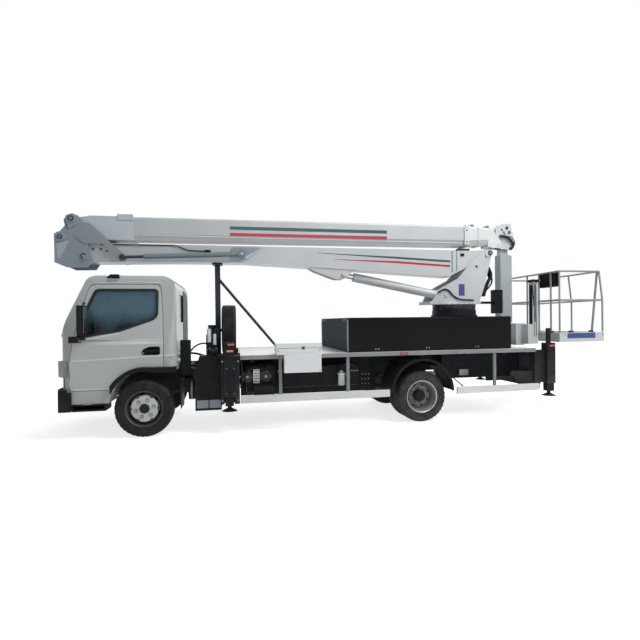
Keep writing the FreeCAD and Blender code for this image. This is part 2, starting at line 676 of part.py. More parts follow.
def door(sign):
    """Door as thick as the cab wall, with its window opening and a mirror on its front corner."""
    skin = cab_volume(0).cut(cab_volume(CAB_WALL))
    panel = skin.common(door_prism(door_outline(0), sign)).cut(wheel_arch(ARCH_R + ARCH_LIP + DOOR_GAP))
    panel = max(panel.Solids, key=lambda solid: solid.Volume)
    panel = panel.cut(door_prism(door_window_outline(0), sign))
    y = CAB_HALF
    arms = fused([rod((-720, y - 60, z), (-700, y + 120, z), 9) for z in (1300, 1760)])
    arms = arms.fuse(rod((-700, y + 118, 1292), (-700, y + 118, 1768), 9))
    arm = on_side(arms, sign).cut(cab_volume(CAB_WALL / 2))
    mirror = on_side(box(-740, -665, y + 85, y + 262, 1360, 1722), sign)
    low = on_side(box(-850, -745, y + 60, y + 210, 1255, 1335), sign)
    reach = on_side(box(-760, -690, y + 100, y + 130, 1285, 1365), sign)
    body = fused([panel, arm, mirror, low, reach])
    for z in DOOR_HINGES:
        top = z + HINGE_LONG
        for z0, z1 in ((z - HINGE_END - SEAT, z), (top, top + HINGE_END + SEAT)):
            body = body.cut(on_side(hinge_bar(z0, z1, HINGE_R + HINGE_SLACK), sign))
        knuckle_bar = hinge_bar(z, top, HINGE_R).cut(hinge_bar(z, top, HINGE_PIN_R + RUN))
        body = body.cut(on_side(hinge_bar(z, top, HINGE_PIN_R + RUN), sign))
        body = body.fuse(on_side(knuckle_bar, sign))
    return body


def door_glass(sign):
    pane = glass_shell(20).common(door_prism(door_window_outline(SEAT), sign))
    return max(pane.Solids, key=lambda solid: solid.Volume)


def front_bumper():
    """Wrap-round bumper, notched under each door, with the entry step behind each corner."""
    z0, z1 = 370, 655
    y0, y1 = CAB_HALF + 12, CAB_HALF + BUMPER_OUT
    outer = prism_xy([(-1085, 0), (-1085, CAB_HALF - 300), (-1070, CAB_HALF - 60), (-1030, y1), (-885, y1),
                      (-885, 0)], z0, z1)
    inner = prism_xy([(-1064, -1), (-1064, CAB_HALF - 340), (-1061, y0), (-880, y0), (-880, -1)],
                     CAB_SILL - SEAT, z1 + 1)
    inner = inner.fuse(box(-1020, -880, -1, y0 - 4, z0 + 22, CAB_SILL + 1))
    half = outer.cut(inner)
    half = half.cut(box(-940, -880, y0 - 6, y1 + 5, DOOR_BOTTOM - 14, z1 + 1))
    step = box(-885, -478, CAB_HALF - 260, CAB_HALF + 20, 362, CAB_SILL - SEAT)
    step = step.cut(box(-870, -495, CAB_HALF - 240, CAB_HALF + 21, 384, CAB_SILL - 20))
    half = half.fuse(step)
    return fused([half, mirrored(half)])


def arch_lips():
    """Flared lip over each front wheel, running level to the back of the cab."""
    y0, y1 = CAB_HALF - 60, CAB_HALF + ARCH_OUT
    outer = pin_y(0, ARCH_Z, ARCH_R + ARCH_LIP, y0, y1)
    outer = outer.fuse(box(0, CAB_REAR, y0, y1, ARCH_Z, ARCH_Z + ARCH_R + ARCH_LIP))
    inner = pin_y(0, ARCH_Z, ARCH_R, y0 - 1, y1 + 1)
    inner = inner.fuse(box(0, 600, y0 - 1, y1 + 1, 0, 840))
    lip = outer.cut(inner).common(box(-415, 1000, 0, 2000, ARCH_Z + 80, 2000))
    lip = lip.cut(cab_volume(-SEAT))
    lip = max(lip.Solids, key=lambda solid: solid.Volume)
    return [lip, mirrored(lip)]


def mud_flaps():
    """Flap behind each front wheel, on an arm from the side rail."""
    x = CAB_REAR + 60
    flap = box(x, x + 8, 560, 940, 355, 745)
    arm = box(x + 8, x + 38, FRAME_HALF + SEAT, 900, 700, 740)
    flap = fused([flap, arm])
    return [flap, mirrored(flap)]


LAMP_WIDE = 360


def headlamps():
    lamp = prism_xz([(CAB_FRONT - 24, 800), (CAB_FRONT - 24, 1015), (-935, 1015), (-935, 800)],
                    CAB_HALF - LAMP_WIDE, CAB_HALF + 6)
    lamp = lamp.cut(cab_volume(-SEAT))
    lamp = lamp.common(prism_xy([(-1100, CAB_HALF - LAMP_WIDE), (-1100, CAB_HALF - 125), (-930, CAB_HALF + 6),
                                 (-900, CAB_HALF + 6), (-900, CAB_HALF - LAMP_WIDE)], 0, 2000))
    lamp = max(lamp.Solids, key=lambda solid: solid.Volume)
    return [lamp, mirrored(lamp)]


STEERING_R = 200
WHEEL_AT = (-610, -460, 1420)


def seats():
    """Driver's seat and a double passenger seat, each a base, a cushion and a back."""
    seats_made = []
    for y0, y1 in ((-700, -220), (-150, 700)):
        floor = CAB_FLOOR + 30 + SEAT
        base = box(-350, 60, y0 + 30, y1 - 30, floor, floor + 200)
        cushion = box(-420, 90, y0, y1, floor + 200, floor + 330)
        back = prism_xz([(70, floor + 200), (180, floor + 200), (290, floor + 820), (200, floor + 820)], y0, y1)
        seats_made.append(fused([base, cushion, back]))
    return seats_made


def dashboard():
    """Fascia behind the windscreen, with the steering column and its wheel on the left."""
    fascia = cab_volume(CAB_WALL + SEAT).common(box(-1100, -740, -780, 780, 1080, 1330))
    x, y, z = WHEEL_AT
    foot = (x - 150, y, z - 300)
    column = rod(foot, (x, y, z), 32)
    bracket = box(-800, foot[0] + 40, y - 45, y + 45, foot[2], foot[2] + 70)
    rim = Part.makeTorus(STEERING_R, 15, V(x, y, z), V(x - foot[0], 0, z - foot[2]))
    spoke = rod((x, y - STEERING_R, z), (x, y + STEERING_R, z), 12)
    return fused([fascia, bracket, column, rim, spoke])


def engine_block():
    """Engine and gearbox as one block, on four feet that stand in the side rails."""
    block = box(ENGINE_REAR - 1080, ENGINE_REAR, -280, 280, 470, CAB_UNDER - 20)
    low = RAIL_BOTTOM + RAIL_WALL + SEAT
    feet = []
    for x in (ENGINE_REAR - 930, ENGINE_REAR - 150):
        foot = box(x - 50, x + 50, 270, RAIL_WEB_IN - GAP, low, low + 40)
        feet += [foot, mirrored(foot)]
    return fused([block] + feet)


# ------------------------------------------------------------------ equipment on the frame
PANEL_THICK = 4
PANEL_FACE = FRAME_HALF + SEAT + PANEL_THICK


def side_tanks():
    """Closing panels on the rails, with the fuel tank, battery box and tool box hung on them."""
    panel = box(1250, 3330, FRAME_HALF + SEAT, PANEL_FACE, 405, RAIL_TOP - 10)
    rear = box(WHEELBASE + MUDGUARD_R + 14, HOUSINGS[1][0] - 10, 590, 600, 572, DECK_UNDER - BEARER_DEEP - SEAT)
    pieces = [panel, mirrored(panel), rear, mirrored(rear)]
    for x0, x1, sign, y1 in ((1330, 2180, 1, 900), (2300, 3150, 1, 860), (1330, 1720, -1, 800)):
        block = box(x0, x1, FRAME_HALF + 40, y1, 500, 900)
        block = block.makeFillet(40, [e for e in block.Edges if abs(e.tangentAt(0).x) > 0.9])
        straps = [box(sx - 25, sx + 25, PANEL_FACE + SEAT, FRAME_HALF + 60, 540, 860)
                  for sx in (x0 + 120, x1 - 120)]
        pieces.append(on_side(fused([block] + straps), sign))
    return pieces


def left_tanks():
    """Oil tank and air tank low on the left."""
    tank = box(1850, 2950, FRAME_HALF + 30, 700, 540, 860)
    tank = tank.makeFillet(30, [e for e in tank.Edges if abs(e.tangentAt(0).x) > 0.9])
    arms = [box(x - 25, x + 25, PANEL_FACE + SEAT, FRAME_HALF + 50, 580, 820) for x in (2000, 2800)]
    tank = mirrored(fused([tank] + arms))
    air = mirrored(rod((1420, 900, 560), (1700, 900, 560), 85))
    air_arm = mirrored(box(1540, 1580, 800 + SEAT, 840, 520, 600))
    air = fused([air, air_arm])
    return [tank, air]


def valve_block():
    """Valve block and filter beside the boom rest, on a bracket plate."""
    low = DECK_UNDER + SEAT
    plate = box(760, 945, -602, -FRAME_HALF + 80, low, low + 10)
    block = box(775, 930, -600, -300, low + 10, 1320)
    filter_pot = Part.makeCylinder(55, 135, V(850, -420, 1320))
    return fused([plate, block, filter_pot])


def air_intake():
    """Upright intake stack behind the cab, its cleaner, and the steel box they stand beside."""
    rail_face = -FRAME_HALF - SEAT
    stack = box(425, 560, -640, -460, 760, 1250)
    stack = stack.makeFillet(25, [e for e in stack.Edges if abs(e.tangentAt(0).z) > 0.9])
    link = box(520, 660, -640, -460, 770, 860)
    arm = box(650, 900, -640, rail_face, 700, 860)
    side_box = box(640, 985, -860, -500, 300, 690)
    plating = prism_xz([(640, 680), (615, 780), (700, 1038), (985, 1038), (985, 680)], -860, -612)
    post = box(700, 860, -620, -520, 680, 705)
    shield = prism_xz([(583, 781), (730, 1022), (944, 1112), (944, 1085), (755, 995), (640, 781)], -800, -612)
    stay = box(600, 660, -760, -560, 781, 860)
    cleaner = rod((700, -500, 600), (700, rail_face - 30, 600), 85)
    return fused([stack, link, arm, side_box, plating, post, shield, stay, cleaner])


LOWER_KEEL = 2400        # underside of the lower boom over the rest
REST_TOP = LOWER_KEEL - SEAT
SPARE_X, SPARE_Y, SPARE_Z = 1092, -250, 1377
SPARE_DISC = 30          # from the wheel's middle to the face of its disc


def boom_rest():
    """Black column with a flat pad under the lower boom, a raking brace, and the spare's arm."""
    half = REST_SIZE / 2
    base_z = DECK_UNDER + SEAT
    column = box(REST_X - half, REST_X + half, -half, half, base_z, REST_TOP - 25)
    foot = box(REST_X - 110, JACK_FRONT_X + 60, -130, 130, base_z, base_z + 20)
    pad = box(REST_X - 75, REST_X + 75, -110, 110, REST_TOP - 25, REST_TOP)
    brace = rod((REST_X + 25, 0, 2150), (1850, 0, DECK_TOP + 18), 22)
    shoe = box(1790, 1910, -60, 60, DECK_TOP + SEAT, DECK_TOP + 16)
    arm = box(REST_X - 25, REST_X + 25, SPARE_Y - 25, 0, SPARE_Z - 25, SPARE_Z + 25)
    spindle = rod((REST_X, SPARE_Y, SPARE_Z), (SPARE_X + SPARE_DISC - SEAT, SPARE_Y, SPARE_Z), 22)
    return fused([column, foot, pad, brace, shoe, arm, spindle])


def spare_wheel():
    """Spare wheel standing behind the boom rest with its axle along the vehicle."""
    section = [(RIM_R - 20, -TYRE_W / 2 + 25), (TYRE_R - 60, -TYRE_W / 2), (TYRE_R - 15, -TYRE_W / 2 + 15),
               (TYRE_R, -TYRE_W / 2 + 45), (TYRE_R, TYRE_W / 2 - 45), (TYRE_R - 15, TYRE_W / 2 - 15),
               (TYRE_R - 60, TYRE_W / 2), (RIM_R - 20, TYRE_W / 2 - 25)]
    wire = Part.makePolygon([V(SPARE_X + a, SPARE_Y, SPARE_Z + r) for r, a in section + [section[0]]])
    ring = Part.Face(wire).revolve(V(SPARE_X, SPARE_Y, SPARE_Z), X_AXIS, 360)
    disc = rod((SPARE_X + SPARE_DISC, SPARE_Y, SPARE_Z), (SPARE_X + SPARE_DISC + 14, SPARE_Y, SPARE_Z), RIM_R)
    return fused([ring, disc])


def locker_box(sign):
    """Steel locker open to the outside, standing on the deck; its lid closes it."""
    y1, y0 = LOCKER_OUT - LID_THICK - 2, LOCKER_OUT - LOCKER_DEPTH
    base = DECK_TOP + SEAT
    w = LOCKER_WALL
    body = box(LOCKER_FRONT, LOCKER_REAR, y0, y1, base, LOCKER_TOP)
    body = body.cut(box(LOCKER_FRONT + w, LOCKER_REAR - w, y0 + w, y1 + 1, base + w, LOCKER_TOP - w))
    lip_z = LID_HINGE_Z + LID_HINGE_R + SEAT
    body = body.fuse(box(LOCKER_FRONT, LOCKER_REAR, y1 - 5, LOCKER_OUT, lip_z, LOCKER_TOP))
    for x in ((2 * LOCKER_FRONT + LOCKER_REAR) / 3, (LOCKER_FRONT + 2 * LOCKER_REAR) / 3):
        body = body.fuse(box(x - w / 2, x + w / 2, y0 + w, y1 - 6, base + w, LOCKER_TOP - w))
    return on_side(body.removeSplitter(), sign)


def locker_front():
    """Panel across the deck between the lockers' front ends."""
    half = LOCKER_OUT - LOCKER_DEPTH - SEAT
    return box(LOCKER_FRONT, LOCKER_FRONT + LOCKER_WALL, -half, half, DECK_TOP + SEAT, LOCKER_TOP)


def locker_lid(sign):
    """Long flap hinged along its top edge."""
    flap = box(LOCKER_FRONT + 2, LOCKER_REAR - 2, LOCKER_OUT - LID_THICK, LOCKER_OUT,
               DECK_TOP + 8, LOCKER_TOP - 12)
    ends = [(x, LID_HINGE_Y, LID_HINGE_Z) for x in (LOCKER_FRONT + 60, LOCKER_REAR - 60)]
    return on_side(flap.fuse(rod(*ends, LID_HINGE_R)).removeSplitter(), sign)


LID_HINGE_Y, LID_HINGE_Z, LID_HINGE_R = LOCKER_OUT - 2, LOCKER_TOP - 14, 7


def ground_control_box():
    """Pale control cabinet on the deck's left edge, hanging over the side rail."""
    y = DECK_HALF + SEAT
    hung = box(1820, 2330, y, y + 70, 800, 1120)
    shelf = box(1716, 2333, 860, y + 70, DECK_TOP + SEAT, 1200)
    shelf = shelf.cut(box(1740, 2310, 880, y + 50, DECK_TOP + 20, 1180))
    return mirrored(fused([hung, shelf]))


COLUMN_HALF = 330
RING_FIXED = 80          # height of the ring's fixed half


def turret_pedestal():
    """Square column from the subframe up to the fixed half of the slewing ring."""
    base = DECK_UNDER + SEAT
    column = box(SLEW_X - COLUMN_HALF, SLEW_X + COLUMN_HALF, -COLUMN_HALF, COLUMN_HALF, base, RING_BOTTOM - 40)
    inner = COLUMN_HALF - 16
    column = column.cut(box(SLEW_X - inner, SLEW_X + inner, -inner, inner, base + 16, RING_BOTTOM - 60))
    flange = Part.makeCylinder(RING_R + 20, 40, V(SLEW_X, 0, RING_BOTTOM - 40))
    ring = Part.makeCylinder(RING_R, RING_FIXED, V(SLEW_X, 0, RING_BOTTOM))
    return fused([column, flange, ring])


def rear_lamp_bar():
    """Lamp bar and underride bar on two hangers from the rails' ends."""
    x0 = FRAME_REAR + 12 + SEAT
    hangers = [box(x0, x0 + 10, s * 260 - 35, s * 260 + 35, 420, RAIL_TOP - 10) for s in (-1, 1)]
    bar = box(x0 + 10, x0 + 60, -900, 900, 410, 510)
    lamps = [box(x0 + 10, x0 + 50, s * 700 - 190, s * 700 + 190, 560, 680) for s in (-1, 1)]
    lamp_arms = [box(x0 + 10, x0 + 26, s * 225 + min(0, s * 480), s * 225 + max(0, s * 480), 590, 650)
                 for s in (-1, 1)]
    plate = box(x0 + 10, PLATE_FACE_X, -PLATE_HALF, PLATE_HALF, PLATE_Z - 60, PLATE_Z + 60)
    body = fused(hangers + [bar] + lamps + lamp_arms + [plate])
    for sign in (-1, 1):
        y = sign * PLATE_SPACING / 2
        body = body.cut(rod((x0 - 20, y, PLATE_Z), (PLATE_FACE_X + 20, y, PLATE_Z), PLATE_HOLE_R))
    return body


PLATE_FACE_X = FRAME_REAR + 12 + SEAT + 22
PLATE_Z, PLATE_HALF = 620, 262
PLATE_SPACING, PLATE_HOLE_R = 380, 3.5


# ------------------------------------------------------------------ turret
BACK_FOOT, BACK_HEAD = (5230, 1800), (5345, 2230)    # rear face of the turret's back plate


def turret():
    """Two raked cheeks on the turning ring, tied by cross plates, with the boom foot pin."""
    outline = [(4380, 1800), (4480, 1985), (4840, 2175), (5080, 2440), (5345, 2675), (5440, 2660),
               (5455, 2560), (5400, 2350), (5320, 2050), (5250, 1850), (5230, 1800)]
    cheek = prism_xz(outline, CHEEK_IN, CHEEK_IN + CHEEK_THICK)
    low = RING_BOTTOM + RING_FIXED + SEAT
    base = Part.makeCylinder(RING_R - 8, RING_TOP - low, V(SLEW_X, 0, low))
    table = box(4330, 5250, -CHEEK_IN - CHEEK_THICK, CHEEK_IN + CHEEK_THICK, RING_TOP, 1800)
    back = prism_xz([(5190, 1800), BACK_FOOT, BACK_HEAD, (5315, 2230)], -CHEEK_IN, CHEEK_IN)
    pins = [pin_y(FOOT_X, FOOT_Z, BOOM_PIN_R, -CHEEK_IN - 45, CHEEK_IN + 45),
            pin_y(BASE_X, BASE_Z, 32, -CHEEK_IN - 45, CHEEK_IN + 45)]
    return fused([cheek, mirrored(cheek), base, table, back] + pins)


def turret_cabinet():
    """Black cabinet carried on the turret's back plate, and the hoses round the turret."""
    block = box(5500, 5645, -240, -110, RING_BOTTOM + 20, 1990)
    arm = box(5250 + SEAT, 5501, -175, -115, RING_TOP + 5, 1795)
    made = [fused([block, arm])]
    (x0, z0), (x1, z1) = BACK_FOOT, BACK_HEAD
    plate = prism_xz([(x0 - 200, z0), (x0 + 2 * SEAT, z0), (x1 + 2 * SEAT, z1), (x1 - 200, z1)], -CHEEK_IN, 0)
    for y, wide in ((-172, 0), (-138, 18), (-104, -14), (-70, 8)):
        path = [(5325, y, 2195), (5440 + wide, y, 2350 + wide), (5510 + wide, y, 2130), (5390, y, 1985 - wide),
                (5245, y, 1900)]
        made.append(hose(path, HOSE_R).cut(plate))
    y = -CHEEK_IN - CHEEK_THICK - HOSE_R - SEAT
    made.append(hose([(4470, y, 1945), (4620, y, 2020), (4800, y, 1828), (5110, y, 1815)], HOSE_R))
    return made


# ------------------------------------------------------------------ lower boom
def lower_boom():
    """Welded box, deeper at the turret, with foot ears, cylinder bracket and nose ears."""
    profile = [(LOWER_NOSE, 2375), (LOWER_NOSE, 2560), (LOWER_NOSE + 90, LOWER_TOP), (LOWER_REAR, LOWER_TOP),
               (LOWER_REAR, 2211), (3060, 2308), (1340, LOWER_KEEL), (300, LOWER_KEEL)]
    shell = prism_xz(profile, -LOWER_HALF, LOWER_HALF)
    w = LOWER_WALL
    hollow = [(LOWER_NOSE + 300, LOWER_KEEL + w), (LOWER_NOSE + 300, LOWER_TOP - w), (LOWER_REAR + 1, LOWER_TOP - w),
              (LOWER_REAR + 1, 2211 + w), (3060, 2308 + w), (1340, LOWER_KEEL + w)]
    shell = shell.cut(prism_xz(hollow, -LOWER_HALF + w, LOWER_HALF - w))
    foot = prism_xz([(4600, 2300), (4600, 2640), (5340, 2665), (5440, 2640), (5460, 2560), (5400, 2505),
                     (5300, 2500), (4740, 2230)], LOWER_HALF - 45, LOWER_HALF)
    eye = pin_y(FOOT_X, FOOT_Z, 85, 100, LOWER_HALF)
    bulge = prism_xz([(2300, 2370), (2440, 2290), (2640, 2215), (2780, 2165), (2900, 2165), (2965, 2215),
                      (3080, 2300), (3080, 2330)], EYE_EAR_IN, LOWER_HALF - 10)
    boss = pin_y(EYE_X, EYE_Z, 38, EYE_EAR_IN, LOWER_HALF + 12)
    wing = prism_xz([(1150, 2480), (1150, 2625), (1620, 2640), (1380, 2460)], LOWER_HALF, -SIDE_Y - 50)
    pieces = [shell, fused([foot, eye, bulge, boss])]
    pieces += [mirrored(pieces[1]), mirrored(wing.common(box(1150, 1700, 0, LOWER_HALF + 20, 0, 4000)))]
    pieces.append(pin_y(SIDE_BASE_X, SIDE_BASE_Z, 22, SIDE_Y - 60, -LOWER_HALF))
    body = fused(pieces)
    body = body.cut(pin_y(FOOT_X, FOOT_Z, BOOM_PIN_R + RUN, -300, 300))
    body = body.cut(pin_y(KNUCKLE_X, KNUCKLE_Z, KNUCKLE_PIN_R + RUN, -300, 300))
    y = -LOWER_HALF - LINE_R - SEAT
    line = hose([(-700, y, 2636), (350, y, 2640), (500, y, 2570), (780, y, 2562)], LINE_R)
    return [body, line]


LINE_R = 8


EYE_EAR_IN = 62
KNUCKLE_PIN_R = 34
LIFT_BORE_R, LIFT_BARREL_R, LIFT_ROD_R = 60, 72, 42


def along(x0, z0, x1, z1, distance):
    """Point at a distance from the first of two (x, z) points towards the second."""
    length = math.hypot(x1 - x0, z1 - z0)
    return x0 + (x1 - x0) * distance / length, z0 + (z1 - z0) * distance / length


def cylinder_barrel(base, eye, y, radii, length, pin_r, half_eye):
    """Barrel from its base eye towards the rod's eye; radii are barrel and bore."""
    barrel_r, bore_r = radii
    start = along(*base, *eye, 60)
    end = along(*base, *eye, length)
    bore_start = along(*base, *eye, 130)
    body = fused([rod((start[0], y, start[1]), (end[0], y, end[1]), barrel_r),
                  pin_y(base[0], base[1], pin_r + 38, y - half_eye, y + half_eye)])
    past = along(*base, *eye, length + 5)
    body = body.cut(rod((bore_start[0], y, bore_start[1]), (past[0], y, past[1]), bore_r))
    return body.cut(pin_y(base[0], base[1], pin_r + RUN, y - half_eye - 1, y + half_eye + 1))


def cylinder_rod(base, eye, y, radii, eye_r, half_eye):
    """Rod from inside the barrel to its open eye; radii are rod and piston."""
    rod_r, piston_r = radii
    start = along(*base, *eye, 150)
    piston = along(*base, *eye, 230)
    end = along(*eye, *base, eye_r * 0.7)
    body = fused([rod((start[0], y, start[1]), (end[0], y, end[1]), rod_r),
                  rod((start[0], y, start[1]), (piston[0], y, piston[1]), piston_r),
                  pin_y(eye[0], eye[1], eye_r, y - half_eye, y + half_eye)])
    return body.cut(pin_y(eye[0], eye[1], eye_r * 0.45, y - half_eye - 1, y + half_eye + 1))


LIFT_BASE, LIFT_EYE = (BASE_X, BASE_Z), (EYE_X, EYE_Z)


def lift_cylinder_barrel():
    return cylinder_barrel(LIFT_BASE, LIFT_EYE, 0, (LIFT_BARREL_R, LIFT_BORE_R), 1560, 32, 80)


def lift_cylinder_rod():
    return cylinder_rod(LIFT_BASE, LIFT_EYE, 0, (LIFT_ROD_R, LIFT_BORE_R - 0.5), 58, 45)


SIDE_BASE, SIDE_EYE = (SIDE_BASE_X, SIDE_BASE_Z), (LINK_X, LINK_Z)


def knuckle_cylinder_barrel():
    return cylinder_barrel(SIDE_BASE, SIDE_EYE, SIDE_Y, (37, 29), 1400, 22, 45)


def knuckle_cylinder_rod():
    return cylinder_rod(SIDE_BASE, SIDE_EYE, SIDE_Y, (21, 28.5), 40, 22)


# ------------------------------------------------------------------ knuckle and upper boom
def boom_knuckle():
    """Cheek pair that joins the two booms, with its front plate, pins and side links."""
    inner, outer = CHEEK_IN - 8, CHEEK_IN + 17
    outline = [(KNUCKLE_FRONT, 2365), (-1140, 2295), (-865, 2302), (-800, 2400), (-845, 2520), (-905, 2930),
               (-985, 3030), (-1064, 3062), (-1140, 3035), (-1175, 2960), (-1160, 2885), (-1225, 2805),
               (KNUCKLE_FRONT, 2770)]
    cheek = prism_xz(outline, inner, outer)
    link = prism_xz([(-1034, 2743), (-880, 2935), (-835, 2925), (-345, 2455), (-355, 2400), (-430, 2385),
                     (-672, 2640), (-905, 2634)], outer - 1, outer + 8)
    front = prism_xz([(KNUCKLE_FRONT, 2400), (KNUCKLE_FRONT, 2740), (KNUCKLE_FRONT + 22, 2740),
                      (KNUCKLE_FRONT + 22, 2400)], -inner, inner)
    pins = [pin_y(KNUCKLE_X, KNUCKLE_Z, KNUCKLE_PIN_R, -outer - 22, outer + 22),
            pin_y(RAISE_X, RAISE_Z, KNUCKLE_PIN_R, -outer - 22, outer + 22)]
    bosses = []
    for x, z, r in ((-1092, 2869, 24), (-1225, 2725, 72), (RAISE_X, RAISE_Z, 82)):
        bosses += [pin_y(x, z, r, outer - 1, outer + 18), pin_y(x, z, r, -outer - 18, -outer + 1)]
    return fused([cheek, mirrored(cheek), link, mirrored(link), front] + pins + bosses)


def octagon(half, low, high, chamfer):
    """Boom section as (y, z): small top chamfers and deep bottom ones."""
    side = [(half, low + 2.0 * chamfer), (half, high - 0.6 * chamfer), (half - 0.6 * chamfer, high)]
    bottom = [(-half + chamfer, low), (half - chamfer, low)]
    return bottom + side + [(-y, z) for y, z in reversed(side)]


def boom_section(step, x0, x1):
    """Hollow section, step counted inwards from the outermost one."""
    shrink = step * SECTION_STEP
    half, low, high = UPPER_HALF - shrink, UPPER_BOTTOM + shrink, UPPER_TOP - shrink
    w = UPPER_WALL
    outer = prism_yz(octagon(half, low, high, 48 - 3 * step), x0, x1)
    inner = prism_yz(octagon(half - w, low + w, high - w, 45 - 3 * step), x0 - 1, x1 + 1)
    return outer.cut(inner)


def tilted(shape):
    """Turn a piece of the upper boom up by its small stowed angle."""
    shape = shape.copy()
    shape.rotate(V(RAISE_X, 0, UPPER_BOTTOM), Y_AXIS, -UPPER_TILT)
    return shape


def collar(step, x0, x1, proud):
    """Stiffening band round a section's open end."""
    shrink = step * SECTION_STEP
    half, low, high = UPPER_HALF - shrink, UPPER_BOTTOM + shrink, UPPER_TOP - shrink
    outer = prism_yz(octagon(half + proud, low - proud, high + proud, 48), x0, x1)
    return outer.cut(prism_yz(octagon(half - 1, low + 1, high - 1, 48 - 3 * step), x0 - 1, x1 + 1))


def slide_pads(step, x0, x1):
    """Pads on a section's inner walls, a seat's gap off the next section in."""
    shrink = step * SECTION_STEP
    thick = SECTION_STEP - UPPER_WALL - SEAT
    low, high = UPPER_BOTTOM + shrink + UPPER_WALL, UPPER_TOP - shrink - UPPER_WALL
    return [box(x0, x1, -60, 60, low - 1, low + thick), box(x0, x1, -60, 60, high - thick, high + 1)]


def upper_boom_outer():
    """Outer section, with the root box and the ears that turn on the knuckle's upper pin."""
    tube_part = boom_section(0, -260, OUTER_REAR)
    root = box(UPPER_FRONT, -255, -UPPER_HALF, UPPER_HALF, UPPER_BOTTOM, UPPER_TOP)
    root = root.cut(box(UPPER_FRONT + 15, -400, -UPPER_HALF + 12, UPPER_HALF - 12,
                        UPPER_BOTTOM + 12, UPPER_TOP - 12))
    cover = box(-480, -260, -UPPER_HALF - 8, UPPER_HALF + 8, UPPER_TOP - 60, UPPER_TOP + 30)
    ears = prism_xz([(RAISE_X - 60, RAISE_Z - 40), (RAISE_X - 60, RAISE_Z + 45), (UPPER_FRONT + 20, UPPER_TOP - 5),
                     (UPPER_FRONT + 20, UPPER_BOTTOM + 90), (RAISE_X + 20, RAISE_Z - 75)], 90, UPPER_HALF)
    band = collar(0, OUTER_REAR - 60, OUTER_REAR, 12)
    pads = [tilted(pad) for pad in slide_pads(0, OUTER_REAR - 150, OUTER_REAR - 10)]
    body = fused([tilted(tube_part), tilted(root), tilted(cover), tilted(band), ears, mirrored(ears)] + pads)
    return body.cut(pin_y(RAISE_X, RAISE_Z, KNUCKLE_PIN_R + RUN, -300, 300))


def upper_boom_mid():
    tube_part = boom_section(1, -150, MID_REAR)
    band = collar(1, OUTER_REAR + GAP, OUTER_REAR + 60, 10)
    band2 = collar(1, MID_REAR - 50, MID_REAR, 10)
    return tilted(fused([tube_part, band, band2] + slide_pads(1, MID_REAR - 150, MID_REAR - 10)))


def upper_boom_inner():
    """Innermost section with the fork that carries the jib head."""
    tube_part = boom_section(2, -60, INNER_REAR - 60)
    band = collar(2, MID_REAR + GAP, MID_REAR + 66, 10)
    nose = tilted(fused([tube_part, band]))
    fork = prism_xz([(INNER_REAR - 90, 2740), (INNER_REAR - 90, 3040), (INNER_REAR, 3035),
                     (HEAD_X + 45, HEAD_Z + 70), (HEAD_X + 45, HEAD_Z - 40), (INNER_REAR, 2720)], 85, 118)
    plate = box(INNER_REAR - 75, INNER_REAR - 61, -118, 118, 2745, 3035)
    body = fused([nose, fork, mirrored(fork), plate])
    return body.cut(pin_y(HEAD_X, HEAD_Z, HEAD_PIN_R + RUN, -300, 300))


HEAD_PIN_R = 26


# ------------------------------------------------------------------ jib and basket
HEAD_TOP, HEAD_LOW = 3150, 2692


def jib_head():
    """Small levelled frame between the boom nose and the jib."""
    plate = prism_xz([(HEAD_X - 30, HEAD_Z - 30), (HEAD_X - 20, JIB_Z + 40), (JIB_X - 40, HEAD_TOP),
                      (JIB_X + 120, HEAD_TOP), (JIB_X + 165, JIB_Z - 85), (JIB_X + 140, HEAD_LOW),
                      (HEAD_X + 55, HEAD_LOW + 20)], 50, 78)
    pins = [pin_y(HEAD_X, HEAD_Z, HEAD_PIN_R, -118, 118), pin_y(JIB_X, JIB_Z, HEAD_PIN_R, -105, 105)]
    tie = box(HEAD_X - 5, HEAD_X + 35, -60, 60, JIB_Z - 60, JIB_Z + 20)
    out, face = -112, -78 - SEAT
    loop = hose([(5700, face, 2935), (5700, out, 2935), (5930, out, 2915), (5985, out, 2790), (5900, out, 2735),
                 (5900, face, 2735)], LINE_R)
    return [fused([plate, mirrored(plate), tie] + pins), loop]


def jib():
    """Hanging jib tube with its head eye, the energy-chain tray and the foot fork."""
    x0, x1 = JIB_X - JIB_DEPTH / 2, JIB_X + JIB_DEPTH / 2
    top = HEAD_LOW - 85
    outer = box(x0, x1, -JIB_HALF, JIB_HALF, LEVEL_Z + 110, top)
    outer = outer.cut(box(x0 + 7, x1 - 7, -JIB_HALF + 7, JIB_HALF - 7, LEVEL_Z + 130, top - 20))
    neck = prism_xz([(x0 + 10, top - 1), (x1 - 10, top - 1), (JIB_X + 42, JIB_Z), (JIB_X - 42, JIB_Z)], -44, 44)
    eye = pin_y(JIB_X, JIB_Z, 45, -44, 44)
    tray = box(x1, x1 + 62, -45, 45, 1430, top - 8)
    foot = prism_xz([(x0, LEVEL_Z + 115), (x1, LEVEL_Z + 115), (x1, LEVEL_Z - 20), (JIB_X + 30, LEVEL_Z - 60),
                     (JIB_X - 30, LEVEL_Z - 60), (x0, LEVEL_Z - 20)], 60, JIB_HALF)
    body = fused([outer, neck, eye, tray, foot, mirrored(foot)])
    body = body.cut(pin_y(JIB_X, JIB_Z, HEAD_PIN_R + RUN, -200, 200))
    return body.cut(pin_y(LEVEL_X, LEVEL_Z, HEAD_PIN_R + RUN, -200, 200))


